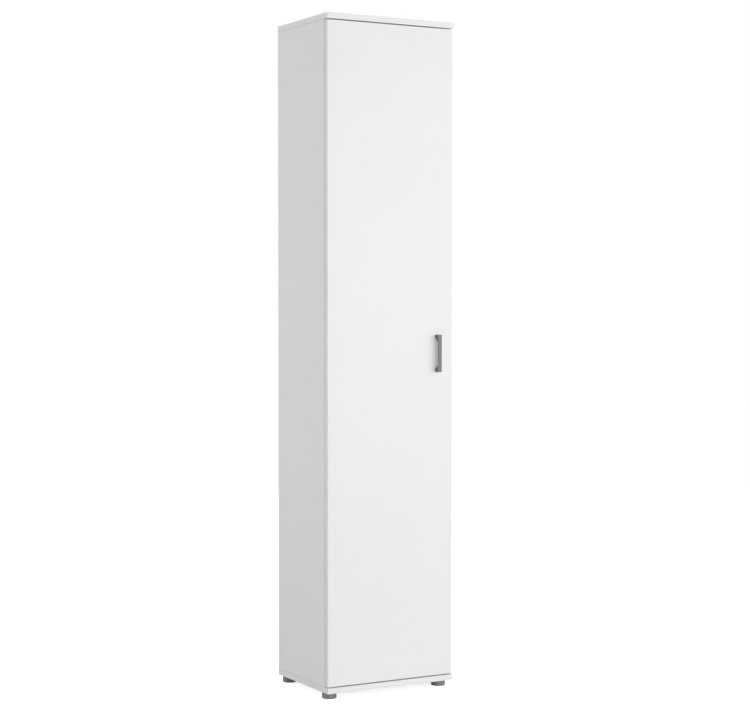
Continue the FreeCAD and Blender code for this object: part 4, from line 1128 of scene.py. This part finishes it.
stageSettings = {
    "floorSize": 9.0,
    "floorTone": (0.88, 0.88, 0.88),
    "floorCloud": 0.99,  # the darkest patches, of the tone
    "floorCloudScale": 2.0,
    "floorRoughness": 0.9,
    "floorLift": 0.74,  # what the camera sees on top of the lit floor
    "worldLight": 0.25,
}
floorMaterial, tree, shader = newMaterial("paleFloor", {
    "Roughness": stageSettings["floorRoughness"],
    "Specular IOR Level": 0.0,
    "Emission Color": (1, 1, 1, 1),
})
cloud = noise(tree, (-2, 0), placeInObject(tree), stageSettings["floorCloudScale"], detail=3)
cloudMask = ranged(tree, (-1, 0), cloud, noiseSpan, stageSettings["floorCloud"], 1.0)
feed(tree, darkened(tree, (1, 0), stageSettings["floorTone"], cloudMask), shader.inputs["Base Color"])
seen = addNode(tree, "ShaderNodeLightPath", (0, -2)).outputs["Is Camera Ray"]
lift = maths(tree, "MULTIPLY", (2, -2), seen, stageSettings["floorLift"])
feed(tree, lift, shader.inputs["Emission Strength"])
bm = bmesh.new()
bmesh.ops.create_grid(bm, x_segments=1, y_segments=1, size=stageSettings["floorSize"] / 2)
floor = bpy.data.objects.new("paleFloor", meshOf(bm, "paleFloor"))
bpy.context.scene.collection.objects.link(floor)
floor.data.materials.append(floorMaterial)

# the world is white to the camera and in gloss, and a weak light to all else
world = bpy.data.worlds.new("studio")
bpy.context.scene.world = world
world.use_nodes = True
tree = world.node_tree
tree.nodes.clear()
paths = addNode(tree, "ShaderNodeLightPath", (-4, 0)).outputs
clear = maths(tree, "MAXIMUM", (-2, 0), paths["Is Camera Ray"], paths["Is Glossy Ray"])
clear = maths(tree, "MAXIMUM", (-1, 0), clear, paths["Is Transmission Ray"])
sky = addNode(tree, "ShaderNodeBackground", (1, 0))
sky.inputs["Color"].default_value = (1, 1, 1, 1)
skyStrength = ranged(tree, (0, 0), clear, (0.0, 1.0), stageSettings["worldLight"], 1.0)
feed(tree, skyStrength, sky.inputs["Strength"])
feed(tree, sky.outputs[0], addNode(tree, "ShaderNodeOutputWorld", (3, 0)).inputs["Surface"])

softBoxes = {
    "frontLight": {"place": (0.2, -6.0, 0.95), "aim": (0.15, 0.0, 1.0),
                   "width": 3.0, "height": 1.2, "power": 120.0},
    "wideLight": {"place": (4.4, -4.6, 1.5), "aim": (0.15, 0.0, 1.1),
                  "width": 5.2, "height": 1.4, "power": 117.0},
    "leftLight": {"place": (-5.0, 1.0, 1.5), "aim": (0.0, 0.5, 1.0),
                  "width": 1.6, "height": 1.4, "power": 73.0},
    "rearLight": {"place": (1.5, 5.0, 2.4), "aim": (0.0, 0.0, 1.0),
                  "width": 2.0, "height": 1.4, "power": 60.0},
    "highLight": {"place": (0.0, -0.6, 5.0), "aim": (0.0, -0.5, 0.0),
                  "width": 3.0, "height": 3.0, "power": 35.0},
}
for name, lamp in softBoxes.items():
    lightData = bpy.data.lights.new(name, "AREA")
    lightData.shape = "RECTANGLE"
    lightData.size = lamp["width"]
    lightData.size_y = lamp["height"]
    lightData.energy = lamp["power"]
    light = bpy.data.objects.new(name, lightData)
    bpy.context.scene.collection.objects.link(light)
    light.location = lamp["place"]
    light.rotation_euler = (Vector(lamp["aim"]) - Vector(lamp["place"])).to_track_quat("-Z", "Y").to_euler()

cameraView = {
    "place": (-2.46765, -4.48386, 1.09819),
    "turn": 29.1099,  # degrees to the right of straight ahead
    "tilt": 1.7476,  # degrees down from level
    "lens": 86.48,
    "sensorWidth": 36.0,
}
cameraData = bpy.data.cameras.new("viewCamera")
cameraData.lens = cameraView["lens"]
cameraData.sensor_width = cameraView["sensorWidth"]
camera = bpy.data.objects.new("viewCamera", cameraData)
bpy.context.scene.collection.objects.link(camera)
camera.location = cameraView["place"]
camera.rotation_euler = (math.radians(90 - cameraView["tilt"]), 0, -math.radians(cameraView["turn"]))
bpy.context.scene.camera = camera
bpy.context.scene.view_settings.view_transform = "Standard"
print("stage ready")
